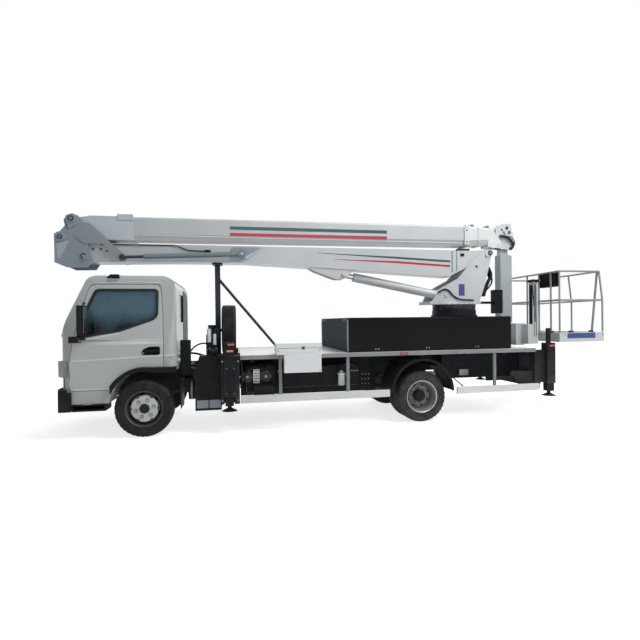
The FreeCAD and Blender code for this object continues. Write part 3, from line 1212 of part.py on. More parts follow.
def basket_arm():
    """Levelled arm from the jib's foot to the upright mast that the basket turns on."""
    tongue = fused([pin_y(LEVEL_X, LEVEL_Z, 58, -52, 52), box(LEVEL_X, 5905, -52, 52, LEVEL_Z - 50, LEVEL_Z + 50)])
    pin = pin_y(LEVEL_X, LEVEL_Z, HEAD_PIN_R, -100, 100)
    block = box(5900, 6060, -230, 90, 1045, 1415)
    reach = box(6000, MAST_X + 50, MAST_Y - 50, -140, 1070, 1400)
    mast = square(MAST_X, MAST_Y, MAST_SIZE, 1070, 2110)
    mast = mast.cut(box(MAST_X - 22, MAST_X + 22, MAST_Y - 60, MAST_Y + 10, 1440, 2080))
    posts = [Part.makeCylinder(MAST_PIN_R, 60, V(MAST_X, MAST_Y, 2105))]
    return fused([tongue, pin, block, reach, mast] + posts)


MAST_PIN_R = 30


BASKET_LEAN = 60         # the rear posts come in by this much above the middle rail
REAR_POSTS, FRONT_POSTS = (-170,), (-650, MAST_Y, -50)


def basket():
    """Welded cage: floor, toe boards, three rails, posts, and the two hinge lugs on the mast."""
    x0, x1, y = BASKET_FRONT, BASKET_REAR, BASKET_HALF
    r = RAIL_TUBE
    floor = box(x0 - r, x1 + r, -y - r, y + r, BASKET_FLOOR, BASKET_FLOOR + 18)
    rim = box(x0 - r, x1 + r, -y - r, y + r, BASKET_FLOOR, BASKET_FLOOR + BASKET_TOE)
    rim = rim.cut(box(x0 - r + 4, x1 + r - 4, -y - r + 4, y + r - 4, BASKET_FLOOR - 1, BASKET_FLOOR + BASKET_TOE + 1))
    pieces = [floor, rim]
    top, low = BASKET_TOP - r, BASKET_FLOOR + 5
    for z, rear in ((BASKET_MID, x1), (top, x1 - BASKET_LEAN)):
        corners = [(x0, -y), (rear, -y), (rear, y), (x0, y)]
        for (ax, ay), (bx, by) in zip(corners, corners[1:] + corners[:1]):
            pieces.append(rod((ax, ay, z), (bx, by, z), r))
        pieces += [Part.makeSphere(r, V(cx, cy, z)) for cx, cy in corners]
    for py in (-y, *REAR_POSTS, y):
        pieces.append(rod((x1, py, low), (x1, py, BASKET_MID), r * 0.9))
        pieces.append(rod((x1, py, BASKET_MID), (x1 - BASKET_LEAN, py, top), r * 0.9))
    for py in (-y, *FRONT_POSTS, y):
        pieces.append(rod((x0, py, low), (x0, py, top), r * 0.9))
    pieces.append(rod((x1 - 8, -632, BASKET_FLOOR + BASKET_TOE - 20), (x1 - BASKET_LEAN + 5, -805, top), r * 1.1))
    lug_z = 2115
    lug = box(MAST_X - 45, x0, MAST_Y - 45, MAST_Y + 45, lug_z, lug_z + 30)
    lug = lug.fuse(Part.makeCylinder(48, 30, V(MAST_X, MAST_Y, lug_z)))
    lug = lug.cut(Part.makeCylinder(MAST_PIN_R + RUN, 60, V(MAST_X, MAST_Y, lug_z - 5)))
    return fused(pieces + [lug])


def basket_control_box():
    """Control box hung inside the front rail at the left."""
    x = BASKET_FRONT + RAIL_TUBE + SEAT
    return box(x, x + 100, -BASKET_HALF + 150, -BASKET_HALF + 530, BASKET_TOP - 250, BASKET_TOP - 5)


# ------------------------------------------------------------------ all nodes
def build():
    write("chassis_frame", chassis_frame())
    write("subframe", subframe())
    write("outriggers", outriggers())
    write("deck", deck())
    write("side_guards", side_guards())
    write("mudguards", rear_mudguards() + mud_flaps() + arch_lips())
    write("front_suspension", front_suspension())
    write("rear_suspension", rear_suspension())
    write("cab_shell", cab_shell())
    write("cab_windows", cab_windows())
    write("front_bumper", front_bumper())
    write("headlamps", headlamps())
    write("seats", seats())
    write("dashboard", dashboard())
    write("engine_block", engine_block())
    write("side_tanks", side_tanks() + left_tanks())
    write("valve_block", valve_block())
    write("air_intake", air_intake())
    write("boom_rest", boom_rest())
    write("spare_wheel", spare_wheel())
    write("ground_control_box", ground_control_box())
    write("turret_pedestal", turret_pedestal())
    write("rear_lamp_bar", rear_lamp_bar())
    write("lockers", [locker_box(sign) for _, sign in SIDES] + [locker_front()])
    for side, sign in SIDES:
        write(f"locker_lid_{side}", locker_lid(sign))
        write(f"steering_knuckle_{side}", on_side(knuckle(), sign))
        write(f"front_tyre_{side}", on_side(tyre(0, FRONT_TRACK / 2), sign))
        write(f"front_rim_{side}", on_side(front_wheel_rim(), sign))
        twin = [tyre(WHEELBASE, y) for y in (DUAL_OUTER_Y, DUAL_OUTER_Y - DUAL_PITCH)]
        write(f"rear_tyres_{side}", [on_side(one, sign) for one in twin])
        write(f"rear_rims_{side}", on_side(rear_wheel_rims(), sign))
        write(f"door_{side}", door(sign))
        write(f"door_glass_{side}", door_glass(sign))
        for end, x, top in OUTRIGGERS:
            write(f"jack_{end}_{side}", on_side(jack(x, top), sign))
    write("turret", turret())
    write("turret_cabinet", turret_cabinet())
    write("lower_boom", lower_boom())
    write("lift_cylinder_barrel", lift_cylinder_barrel())
    write("lift_cylinder_rod", lift_cylinder_rod())
    write("boom_knuckle", boom_knuckle())
    write("knuckle_cylinder_barrel", knuckle_cylinder_barrel())
    write("knuckle_cylinder_rod", knuckle_cylinder_rod())
    write("upper_boom_outer", upper_boom_outer())
    write("upper_boom_mid", upper_boom_mid())
    write("upper_boom_inner", upper_boom_inner())
    write("jib_head", jib_head())
    write("jib", jib())
    write("basket_arm", basket_arm())
    write("basket", basket())
    write("basket_control_box", basket_control_box())


os.makedirs("parts", exist_ok=True)
build()
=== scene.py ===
"""Looks of a truck-mounted articulated work platform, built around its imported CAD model.

Metres. +X points rearward, +Y to the vehicle's right, +Z up, the ground is Z = 0.
Places are laid out from the front axle, as in the CAD model, and turned into the
frame's own X by at().
"""

import json
import math

import bmesh
import bpy
from mathutils import Matrix, Vector
from mathutils.bvhtree import BVHTree


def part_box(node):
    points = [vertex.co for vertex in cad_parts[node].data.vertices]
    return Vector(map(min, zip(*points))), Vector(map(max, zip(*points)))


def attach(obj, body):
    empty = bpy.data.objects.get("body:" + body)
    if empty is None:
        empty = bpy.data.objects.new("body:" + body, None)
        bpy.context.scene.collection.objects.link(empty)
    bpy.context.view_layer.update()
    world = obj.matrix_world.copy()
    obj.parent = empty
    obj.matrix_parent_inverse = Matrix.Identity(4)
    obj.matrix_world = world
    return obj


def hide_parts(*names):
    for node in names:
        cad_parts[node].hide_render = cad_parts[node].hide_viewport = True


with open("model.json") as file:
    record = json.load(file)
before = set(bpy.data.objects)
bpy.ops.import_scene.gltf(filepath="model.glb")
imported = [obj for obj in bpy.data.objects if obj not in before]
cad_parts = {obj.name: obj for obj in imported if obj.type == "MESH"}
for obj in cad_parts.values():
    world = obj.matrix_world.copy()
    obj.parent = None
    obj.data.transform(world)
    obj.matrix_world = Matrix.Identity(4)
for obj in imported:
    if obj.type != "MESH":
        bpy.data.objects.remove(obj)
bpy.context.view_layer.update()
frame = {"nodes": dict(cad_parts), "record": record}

SIDES = (("left", -1), ("right", 1))


def box_of(node):
    """Lowest and highest corner of a CAD node, laid out from the front axle."""
    return [Vector((p.x - AXLE_X, p.y, p.z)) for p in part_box(node)]


def middle(node):
    """Middle of a CAD node's box, in the frame."""
    low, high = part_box(node)
    return (low + high) / 2


AXLE_X, _, AXLE_Z = middle("front_rim_left")
REAR_AXLE = middle("rear_rims_left").x - AXLE_X


def at(x, y, z):
    """A place laid out from the front axle, in the frame."""
    return Vector((AXLE_X + x, y, z))


# ------------------------------------------------------------------ materials
class Nodes:
    """Adds nodes to a tree; an input is either a value or another node's socket."""

    def __init__(self, tree):
        self.tree = tree

    def add(self, kind, **inputs):
        node = self.tree.nodes.new(kind)
        for name, value in inputs.items():
            self.put(value, node.inputs[name.replace("_", " ")])
        return node

    def put(self, value, socket):
        if isinstance(value, bpy.types.NodeSocket):
            self.tree.links.new(value, socket)
        else:
            socket.default_value = value

    def fill(self, node, values):
        for value, socket in zip(values, node.inputs):
            self.put(value, socket)
        return node.outputs[0]

    def math(self, operation, first, second=0.0):
        node = self.add("ShaderNodeMath")
        node.operation = operation
        return self.fill(node, (first, second))

    def seen(self):
        """1 for rays from the camera, a mirror or a window, 0 for the rest."""
        path = self.add("ShaderNodeLightPath")
        kinds = ("Camera", "Glossy", "Transmission")
        camera, glossy, through = [path.outputs[f"Is {kind} Ray"] for kind in kinds]
        return self.math("MAXIMUM", self.math("MAXIMUM", camera, glossy), through)


class Shader(Nodes):
    """One node material."""

    def __init__(self, name):
        self.material = bpy.data.materials.new(name)
        self.material.use_nodes = True
        super().__init__(self.material.node_tree)
        self.shader = self.tree.nodes["Principled BSDF"]
        self.place = self.add("ShaderNodeTexCoord").outputs["Object"]

    def set(self, name, value):
        self.put(value, self.shader.inputs[name])

    def noise(self, scale, detail):
        return self.add("ShaderNodeTexNoise", Scale=scale, Detail=detail, Vector=self.place).outputs["Fac"]

    def spread(self, value, low, high, start=0.0, end=1.0):
        """value between start and end, turned into low to high."""
        return self.fill(self.add("ShaderNodeMapRange"), (value, start, end, low, high))

    def cloud(self, scale, detail, low, high, start=0.3, end=0.7):
        """Noise between start and end, turned into low to high."""
        return self.spread(self.noise(scale, detail), low, high, start, end)

    def gloss(self, low, high):
        """Patches between two values, for a roughness."""
        return self.cloud(11.0, 4.0, low, high)

    def mix(self, amount, first, second):
        node = self.add("ShaderNodeMix")
        node.data_type = "RGBA"
        for value, socket in ((amount, 0), (first, 6), (second, 7)):
            self.put(value, node.inputs[socket])
        return node.outputs[2]

    def varied(self, tint, vary, patch=1.6):
        """A screen colour that slowly grows darker and lighter by a share."""
        return self.mix(self.cloud(patch, 5.0, 0.0, 1.0), light(tint, 1 - vary), light(tint, 1 + vary))

    def axis(self, name):
        return self.add("ShaderNodeSeparateXYZ", Vector=self.place).outputs[name]

    def within(self, axis, low, high):
        """1 between two places along an axis, 0 elsewhere; "Y" from 0 upwards counts both sides alike."""
        along = self.axis(axis)
        if axis == "Y" and low >= 0:
            along = self.math("ABSOLUTE", along)
        above, below = self.math("GREATER_THAN", along, low), self.math("LESS_THAN", along, high)
        return self.math("MULTIPLY", above, below)

    def zone(self, **limits):
        """1 inside a box given as axis=(low, high), 0 outside it."""
        mask, *tests = [self.within(axis, *ends) for axis, ends in limits.items()]
        for test in tests:
            mask = self.math("MULTIPLY", mask, test)
        return mask

    def bump(self, height, strength, distance=0.001):
        node = self.add("ShaderNodeBump", Height=height, Strength=strength, Distance=distance)
        self.set("Normal", node.outputs["Normal"])

    def grain(self, strength, scale=900.0, detail=2.0):
        """Fine relief all over."""
        self.bump(self.noise(scale, detail), strength)


def light(tint, amount=1.0):
    """A colour as it shows on a screen, 0 to 255, turned into linear light and lightened or darkened."""
    linear = [c / 255 / 12.92 if c <= 10 else ((c / 255 + 0.055) / 1.055) ** 2.4 for c in tint]
    return (*[min(1.0, c * amount) for c in linear], 1.0)


DUST = (120, 112, 100)


def finish(name, tint, rough, metallic=0.0, specular=0.5, coat=0.0, vary=0.06, grain=900.0,
           dust=0.0, dust_top=1.0, bump=0.1, patch=1.6):
    """A surface with slow colour change, uneven gloss, fine grain and road dust that thins out upwards."""
    made = Shader(name)
    body = made.varied(tint, vary, patch)
    if dust:
        height = made.spread(made.axis("Z"), dust, 0.0, 0.1, dust_top)
        dusty = made.math("MULTIPLY", height, made.cloud(7.0, 8.0, 0.2, 1.0, 0.35, 0.65))
        body = made.mix(dusty, body, light(DUST))
    made.set("Base Color", body)
    made.set("Roughness", made.gloss(rough * 0.85, min(1.0, rough * 1.2)))
    made.set("Metallic", metallic)
    made.set("Specular IOR Level", specular)
    made.set("Coat Weight", coat)
    made.grain(bump, grain)
    return made.material


def two_tone(name, base, other, rough, other_rough, specular=0.4, coat=0.2, vary=0.06, **limits):
    """One surface that changes colour and gloss inside a box of the frame's own places."""
    made = Shader(name)
    mask = made.zone(**limits)
    made.set("Base Color", made.mix(mask, made.varied(base, vary), made.varied(other, vary)))
    made.set("Roughness", made.math("ADD", made.gloss(-0.04, 0.04), made.spread(mask, rough, other_rough)))
    made.set("Specular IOR Level", specular)
    made.set("Coat Weight", made.math("MULTIPLY", made.spread(mask, 1.0, 0.3), coat))
    made.grain(0.06)
    return made.material


def glass_finish(name, high, low, clear):
    """Tinted glazing with a painted sky reflection: high is its pale colour towards the glass's head, low the
    dark glass below, with painted reflection patches over both; clear is the share of light it lets straight
    through.
    """
    made = Shader(name)
    # Painted reflection: the glass turns to the pale high colour towards its head as if mirroring the sky,
    # broken up by noise patches.
    painted_sky_reflection = made.spread(made.axis("Z"), 0.0, 1.0, 1.40, 1.70)
    uneven = made.cloud(5.5, 7.0, -0.40, 0.40, 0.38, 0.62)
    blend = made.math("ADD", painted_sky_reflection, made.math("MULTIPLY", uneven, 0.45))
    made.set("Base Color", made.mix(made.spread(blend, 0.0, 1.0), light(low), light(high)))
    made.set("Roughness", 0.02)
    made.set("Specular IOR Level", 0.2)
    made.set("Alpha", made.cloud(5.0, 2.0, 1 - clear - 0.03, 1 - clear + 0.03))
    return made.material


DOOR_SKIN_FROM, COVERS_FROM = 0.835, 0.895


def door_finish(name, paint, inside, covers):
    """Door skin: painted outside, dark trim on its inner side, black mirror covers standing off it."""
    made = Shader(name)
    aside = made.math("ABSOLUTE", made.axis("Y"))
    above = made.math("MAXIMUM", made.math("SUBTRACT", made.axis("Z"), CAB_BELT), 0.0)
    square = made.math("ADD", aside, made.math("MULTIPLY", above, CAB_LEAN))
    outer = made.math("GREATER_THAN", square, DOOR_SKIN_FROM)
    far = made.math("GREATER_THAN", aside, COVERS_FROM)
    painted = made.math("SUBTRACT", outer, far)
    body = made.mix(outer, light(inside), made.varied(paint, 0.03))
    made.set("Base Color", made.mix(far, body, light(covers)))
    made.set("Roughness", made.gloss(0.30, 0.40))
    made.set("Metallic", made.math("MULTIPLY", painted, 0.12))
    made.set("Coat Weight", made.math("MULTIPLY", painted, 0.2))
    made.set("Specular IOR Level", made.spread(far, 0.5, 0.15))
    made.grain(0.04)
    return made.material


def treadplate_finish():
    """Aluminium sheet with crossed raised bars on its top."""
    made = Shader("deck_plate")
    bars = []
    for angle in (45, -45):
        turned = made.add("ShaderNodeMapping", Vector=made.place, Rotation=(0, 0, math.radians(angle)))
        bands = made.add("ShaderNodeTexWave", Scale=9.0, Distortion=0.0, Vector=turned.outputs["Vector"])
        bars.append(made.spread(bands.outputs["Fac"], 0.0, 1.0, 0.72, 0.95))
    stain = made.cloud(4.0, 6.0, 0.0, 1.0, 0.35, 0.65)
    made.set("Base Color", made.mix(stain, light((205, 208, 210)), light((232, 234, 235))))
    made.set("Metallic", 0.35)
    made.set("Roughness", made.cloud(20.0, 3.0, 0.38, 0.55))
    made.bump(made.math("MAXIMUM", *bars), 0.5, 0.002)
    return made.material


def tyre_finish(name, clean, dusty):
    """Rubber with pale dust in patches."""
    made = Shader(name)
    made.set("Base Color", made.mix(made.cloud(9.0, 8.0, 0.0, 1.0, 0.4, 0.7), light(clean), light(dusty)))
    made.set("Roughness", made.cloud(30.0, 3.0, 0.7, 0.92))
    made.set("Specular IOR Level", 0.25)
    made.grain(0.35, 260.0, 3.0)
    return made.material


LENS = dict(specular=0.7, coat=0.8, vary=0.1, patch=60.0, bump=0.4, grain=500.0)
FINISHES = (
    ("cab_paint", (184, 190, 190), 0.34, dict(metallic=0.1, coat=0.2, specular=0.4, vary=0.03, dust=0.28,
                                              dust_top=0.9, bump=0.04)),
    # painted highlight: lighter than the cab paint, for creases and gutters, standing in for the light they
    # catch
    ("crease_highlight_paint", (216, 222, 222), 0.34, dict(metallic=0.1, coat=0.2, vary=0.03)),
    ("boom_paint", (213, 216, 217), 0.4, dict(coat=0.25, vary=0.04, bump=0.06)),
    # painted highlight: near-white paint for strips that stand in for light along the upper boom's lower
    # edges
    ("painted_highlight_white", (238, 240, 240), 0.35, dict(coat=0.3, vary=0.02)),
    ("jib_paint", (164, 172, 175), 0.4, dict(coat=0.2, bump=0.06)),
    ("control_box_paint", (232, 235, 236), 0.4, dict(coat=0.2, vary=0.04, bump=0.06)),
    ("grey_paint", (142, 153, 162), 0.42, dict(coat=0.2, bump=0.08)),
    ("cylinder_grey", (114, 127, 136), 0.42, dict(coat=0.2, bump=0.08)),
    # painted highlight: lighter grey for a lit facet on the knuckle's cheeks
    ("facet_highlight_grey", (178, 187, 193), 0.4, dict(coat=0.2, vary=0.05)),
    ("rest_paint", (46, 54, 63), 0.45, dict(specular=0.2, vary=0.2, dust=0.2, bump=0.12)),
    ("black_paint", (17, 21, 29), 0.45, dict(specular=0.12, vary=0.25, dust=0.14, bump=0.12)),
    ("locker_black", (14, 16, 20), 0.08, dict(specular=0.12, vary=0.2, bump=0.02)),
    ("chassis_paint", (26, 28, 31), 0.6, dict(specular=0.15, vary=0.3, dust=0.45, bump=0.2)),
    ("green_stripe", (30, 74, 78), 0.35, dict(coat=0.3)),
    ("red_stripe", (182, 34, 60), 0.35, dict(coat=0.3)),
    ("blue_panel", (52, 70, 132), 0.4, dict(coat=0.2, vary=0.1)),
    ("galvanised", (190, 194, 196), 0.42, dict(metallic=0.55, vary=0.08, patch=14.0, bump=0.15)),
    ("bare_steel", (120, 124, 126), 0.35, dict(metallic=0.9, vary=0.12, patch=20.0, bump=0.2)),
    ("cast", (58, 60, 62), 0.7, dict(metallic=0.3, vary=0.2, dust=0.4, bump=0.6, grain=300.0)),
    ("chrome_rod", (205, 208, 210), 0.12, dict(metallic=1.0, vary=0.03, bump=0.03)),
    ("rim_paint", (176, 180, 182), 0.36, dict(metallic=0.5, vary=0.1, dust=0.5, dust_top=0.8)),
    ("dark_rim", (66, 69, 72), 0.5, dict(metallic=0.4, vary=0.15, bump=0.15)),
    ("dull_rim", (104, 108, 111), 0.55, dict(metallic=0.3, vary=0.12, dust=0.4, dust_top=0.8, bump=0.2)),
    ("black_plastic", (19, 21, 25), 0.55, dict(specular=0.12, vary=0.15, dust=0.14, bump=0.3, grain=700.0)),
    ("dark_gap", (8, 9, 10), 0.9, dict(specular=0.05, vary=0.3)),
    ("hose_rubber", (20, 21, 24), 0.5, dict(specular=0.35, vary=0.2, bump=0.3, grain=600.0)),
    ("lamp_plastic", (118, 123, 126), 0.08, dict(coat=0.5, vary=0.08, patch=40.0)),
    ("red_lens", (196, 38, 34), 0.12, LENS),
    ("amber_lens", (224, 116, 40), 0.12, LENS),
    ("seat_fabric", (70, 74, 80), 0.9, dict(specular=0.15, vary=0.15, patch=60.0, bump=0.5, grain=1400.0)),
)
MATERIALS = {name: finish(name, tint, rough, **more) for name, tint, rough, more in FINISHES}
MATERIALS["deck_aluminium"] = treadplate_finish()
MATERIALS["rubber"] = tyre_finish("tyre_rubber", (24, 27, 30), (46, 47, 46))
MATERIALS["dusty_rubber"] = tyre_finish("dusty_rubber", (42, 45, 47), (70, 70, 68))
# (88, 122, 138) is the painted sky reflection's colour, (5, 9, 13) the dark glass.
MATERIALS["glazing"] = glass_finish("glazing", (88, 122, 138), (5, 9, 13), 0.20)


# ------------------------------------------------------------------ mesh building
class Piece:
    """One visible piece: solids are added in layout places, then it is made and rides on a body."""

    def __init__(self, material):
        self.bm = bmesh.new()
        self.materials = []
        self.use(material)

    def use(self, material):
        """Paint what is added from here on with a material."""
        if material not in self.materials:
            self.materials.append(material)
        self.paint = self.materials.index(material)
        return self

    def box(self, x0, x1, y0, y1, z0, z1):
        corners = [(x0, y0), (x1, y0), (x1, y1), (x0, y1)]
        return self.prism(corners, "xy", z0, z1)

    def side_box(self, sign, x0, x1, near, far, z0, z1):
        """Box on one side of the vehicle, between two distances from its middle plane."""
        return self.box(x0, x1, *sorted((sign * near, sign * far)), z0, z1)

    def loop(self, rings, cap=True):
        """Skin over closed rings of points, each ring as long as the next."""
        rows = [[self.bm.verts.new(at(*p)) for p in ring] for ring in rings]
        faces = []
        for low, high in zip(rows, rows[1:]):
            for i, here in enumerate(low):
                j = (i + 1) % len(low)
                faces.append(self.bm.faces.new((here, low[j], high[j], high[i])))
        if cap:
            faces.append(self.bm.faces.new(rows[0][::-1]))
            faces.append(self.bm.faces.new(rows[-1]))
        for face in faces:
            face.material_index = self.paint
        return self

    def prism(self, points, plane, low, high):
        """Outline of (u, v) points in a plane, from low to high across it."""
        order = {"xz": (0, 2, 1), "yz": (2, 0, 1), "xy": (0, 1, 2)}[plane]
        return self.loop([[[(u, v, w)[k] for k in order] for u, v in points] for w in (low, high)])

    def rod(self, start, end, radius, end_radius=None, sides=20):
        start, end = Vector(start), Vector(end)
        side, up = across((end - start).normalized())
        ends = ((start, radius), (end, radius if end_radius is None else end_radius))
        return self.loop([ring(centre, side * r, up * r, sides) for centre, r in ends])

    def boss(self, sign, x, z, near, far, radius, end_radius=None, sides=20):
        """Rod pointing sideways, between two distances from the middle plane."""
        return self.rod((x, sign * near, z), (x, sign * far, z), radius, end_radius, sides)

    def turned(self, profile, centre, axis="y", sides=48, ripple=None, out=1):
        """Profile of (distance along the axis, radius) points turned round it.

        out is 1 or -1, the way the distances count; ripple(i, k) scales a radius.
        """
        rings = []
        for k, (along, radius) in enumerate(profile):
            row = []
            for i in range(sides):
                turn = math.tau * i / sides
                r = radius * (ripple(i, k) if ripple else 1.0)
                u, v, w = r * math.cos(turn), r * math.sin(turn), out * along
                offset = {"y": (u, w, v), "x": (w, u, v), "z": (u, v, w)}[axis]
                row.append(Vector(centre) + Vector(offset))
            rings.append(row)
        return self.loop(rings, cap=False)

    def tube(self, points, radius, sides=10, steps=8):
        """Round tube on a smooth line through the points."""
        line = smooth_line([Vector(p) for p in points], steps)
        rings = []
        side = (line[1] - line[0]).orthogonal().normalized()
        for before, here, after in zip(line[:1] + line, line, line[1:] + line[-1:]):
            along = (after - before).normalized()
            side = (side - along * side.dot(along)).normalized()
            rings.append(ring(here, side * radius, along.cross(side) * radius, sides))
        return self.loop(rings)

    def bolt(self, place, axis, radius=0.012, height=0.009):
        """Hexagon head with its washer."""
        place, axis = Vector(place), Vector(axis).normalized()
        self.rod(place, place + axis * height * 0.3, radius * 1.35)
        return self.rod(place + axis * height * 0.3, place + axis * height, radius, sides=6)

    def side_bolt(self, sign, x, y, z, radius, height):
        return self.bolt((x, sign * y, z), (0, sign, 0), radius, height)

    def pad(self, node, sign, x0, x1, z0, z1, proud=0.006, sink=0.004):
        """Small plate lying on a node's outer side."""
        y = skin(node, sign, (x0 + x1) / 2, (z0 + z1) / 2)
        return self.side_box(sign, x0, x1, y - sink, y + proud, z0, z1)

    def make(self, name, body, bevel=0.002, smooth=40, replaces=()):
        """Turn the solids into one object that rides on a body."""
        bmesh.ops.recalc_face_normals(self.bm, faces=self.bm.faces)
        made = placed(name, mesh_of(name, self.bm))
        for material in self.materials:
            made.data.materials.append(MATERIALS[material])
        soften(made, bevel, smooth)
        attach(made, body)
        if replaces:
            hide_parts(*replaces)
        return made


def mesh_of(name, bm):
    """Mesh data out of an edited mesh, which is freed."""
    mesh = bpy.data.meshes.new(name)
    bm.to_mesh(mesh)
    bm.free()
    return mesh


def placed(name, data):
    """New object in the scene."""
    made = bpy.data.objects.new(name, data)
    bpy.context.scene.collection.objects.link(made)
    return made


def across(along):
    """Two directions square to one and to each other."""
    side = along.orthogonal().normalized()
    return side, along.cross(side)


def ring(centre, side, up, count, last=0):
    """Points round a centre, from one radius towards another square to it, and last more beyond the round."""
    turns = [math.tau * i / count for i in range(count + last)]
    return [centre + side * math.cos(t) + up * math.sin(t) for t in turns]


def smooth_line(points, steps):
    """Points on the smooth line through the given ones."""
    ends = [points[0] * 2 - points[1]] + points + [points[-1] * 2 - points[-2]]
    line = []
    for a, b, c, d in zip(ends, ends[1:], ends[2:], ends[3:]):
        for i in range(steps):
            t = i / steps
            line.append(0.5 * (b * 2 + (c - a) * t + (a * 2 - b * 5 + c * 4 - d) * t * t
                               + (b * 3 - a - c * 3 + d) * t ** 3))
    return line + [points[-1]]


def edge_modifier(made, width, angle):
    """Round the edges that are sharper than an angle in degrees."""
    bevel = made.modifiers.new("Edges", "BEVEL")
    bevel.width = width
    bevel.segments = 2
    bevel.limit_method = "ANGLE"
    bevel.angle_limit = math.radians(angle)
    bevel.harden_normals = True


def soften(made, width, smooth):
    """Round the sharp edges and shade the rest smooth."""
    for polygon in made.data.polygons:
        polygon.use_smooth = True
    if width:
        edge_modifier(made, width, smooth)
    else:
        made.data.set_sharp_from_angle(angle=math.radians(smooth))


TREES = {}


def hit(node, start, way):
    """Where a ray from a layout place first meets a CAD node, as a layout place."""
    if node not in TREES:
        data = frame["nodes"][node].data
        faces = [tuple(p.vertices) for p in data.polygons]
        TREES[node] = BVHTree.FromPolygons([v.co for v in data.vertices], faces)
    found = TREES[node].ray_cast(at(*start), Vector(way))[0]
    return found - Vector((AXLE_X, 0, 0))


def skin(node, sign, x, z):
    """How far out a node's outer side is at a place."""
    return abs(hit(node, (x, sign * 2.0, z), (0, -sign, 0)).y)


# ------------------------------------------------------------------ wheels
TYRE_SIDES = 180
TREAD_HALF = [(0.081, 0.366), (0.070, 0.3695), (0.053, 0.371), (0.052, 0.361), (0.045, 0.361), (0.044, 0.372),
              (0.021, 0.372), (0.020, 0.362), (0.013, 0.362), (0.012, 0.372)]
SIDEWALL = [(0.080, 0.222), (0.093, 0.229), (0.096, 0.236), (0.0945, 0.243), (0.1015, 0.268),
            (0.1030, 0.270), (0.1033, 0.276), (0.1025, 0.279), (0.1034, 0.300), (0.1020, 0.322),
            (0.1028, 0.324), (0.1020, 0.329), (0.0985, 0.343), (0.0915, 0.357)]
TYRE_HALF = SIDEWALL + TREAD_HALF
TYRE = TYRE_HALF + [(-along, radius) for along, radius in reversed(TYRE_HALF)]
LUG_FIRST, LUG_DEPTH = 12, 0.018
RIM = [(0.092, 0.2375), (0.099, 0.2350), (0.099, 0.2290), (0.090, 0.2205), (0.060, 0.2165), (0.035, 0.205),
       (-0.030, 0.200), (-0.060, 0.214), (-0.078, 0.2205), (-0.082, 0.236), (-0.072, 0.226), (-0.030, 0.208),
       (0.035, 0.213), (0.070, 0.226), (0.092, 0.2375)]
FRONT_TRACK, REAR_OUTER, REAR_INNER = 0.840, 0.877, 0.628
STUDS, STUD_CIRCLE, HAND_HOLES = 6, 0.1125, 8
DISC_SIDES, DISC_EDGE = 96, 3
FRONT_TURNED = (
    # material, sides, (distance out from the wheel's middle, radius) profile
    ("dark_rim", 72, ((0.010, 0.205), (0.030, 0.190), (0.036, 0.120), (0.036, 0.0))),
    ("rim_paint", DISC_SIDES, ((0.034, 0.176), (0.050, 0.178), (0.058, 0.174), (0.061, 0.168), (0.063, 0.150),
                               (0.064, 0.085), (0.067, 0.066), (0.060, 0.055))),
    ("black_plastic", 48, ((0.055, 0.058), (0.082, 0.057), (0.094, 0.052), (0.0985, 0.042), (0.0975, 0.034),
                           (0.0975, 0.0))),
)
REAR_TURNED = (
    ("dull_rim", 96, ((0.034, 0.208), (0.020, 0.198), (-0.020, 0.186), (-0.052, 0.172), (-0.060, 0.158),
                      (-0.060, 0.108), (-0.048, 0.094), (-0.046, 0.0))),
    ("dull_rim", 72, ((-0.034, 0.208), (-0.075, 0.185), (-0.085, 0.150), (-0.085, 0.0))),
    ("black_plastic", 48, ((-0.048, 0.086), (-0.010, 0.084), (0.026, 0.078), (0.034, 0.070), (0.036, 0.055),
                           (0.044, 0.050), (0.046, 0.0))),
)
FRONT_NUT = (
    # material, distances out from the wheel's middle, radii, sides
    ("bare_steel", 0.060, 0.070, 0.030, 0.026, 28),
    ("rim_paint", 0.068, 0.092, 0.0175, 0.016, 6),
    ("bare_steel", 0.090, 0.0965, 0.011, 0.010, 16),
)
REAR_NUT = (
    ("bare_steel", -0.062, -0.054, 0.026, 0.026, 24),
    ("dull_rim", -0.056, -0.030, 0.0165, 0.015, 6),
    ("bare_steel", -0.032, -0.024, 0.010, 0.010, 14),
)


def lug(i, k):
    """Shoulder blocks: every few steps round, the shoulder's rings step in."""
    nearest = min(k, len(TYRE) - 1 - k)
    shoulder = LUG_FIRST <= nearest <= len(SIDEWALL) + 1
    return 1.0 - LUG_DEPTH if shoulder and i % 5 < 2 else 1.0


def front_disc_edge(i, k):
    """The silver disc's edge dips in at its hand holes."""
    if k > DISC_EDGE:
        return 1.0
    turn = (i / DISC_SIDES * STUDS + 0.5) % 1.0
    return 1.0 - 0.11 * max(0.0, 1.0 - abs(turn - 0.5) / 0.17)


def tyre_looks(side, body, material, x, places):
    """One tyre or the twin tyres of an axle's side, at their places across the vehicle."""
    tyres = Piece(material)
    for y in places:
        tyres.turned(TYRE, (x, y, AXLE_Z), sides=TYRE_SIDES, ripple=lug)
    node = f"{body}_{side}"
    wheel = f"{body.split('_')[0]}_wheel_{side}"
    tyres.make(f"{node}_looks", wheel, bevel=0, smooth=28, replaces=[node])


def round_places(x, z, radius, count, first):
    """Places evenly round a centre, the first one at an angle."""
    turns = [first + math.tau * i / count for i in range(count)]
    return [(x + radius * math.cos(t), z + radius * math.sin(t)) for t in turns]


def rim_studs(rim, sign, x, y, nut):
    """Ring of wheel nuts on their washers."""
    for px, pz in round_places(x, AXLE_Z, STUD_CIRCLE, STUDS, 0.20):
        for material, near, far, radius, end_radius, sides in nut:
            rim.use(material).boss(sign, px, pz, y + near, y + far, radius, end_radius, sides)


def rim_holes(rim, sign, x, circle, count, first, near, far, radius):
    """Dark discs where a rim is cut through."""
    rim.use("dark_gap")
    for px, pz in round_places(x, AXLE_Z, circle, count, first):
        rim.boss(sign, px, pz, near, far, radius)


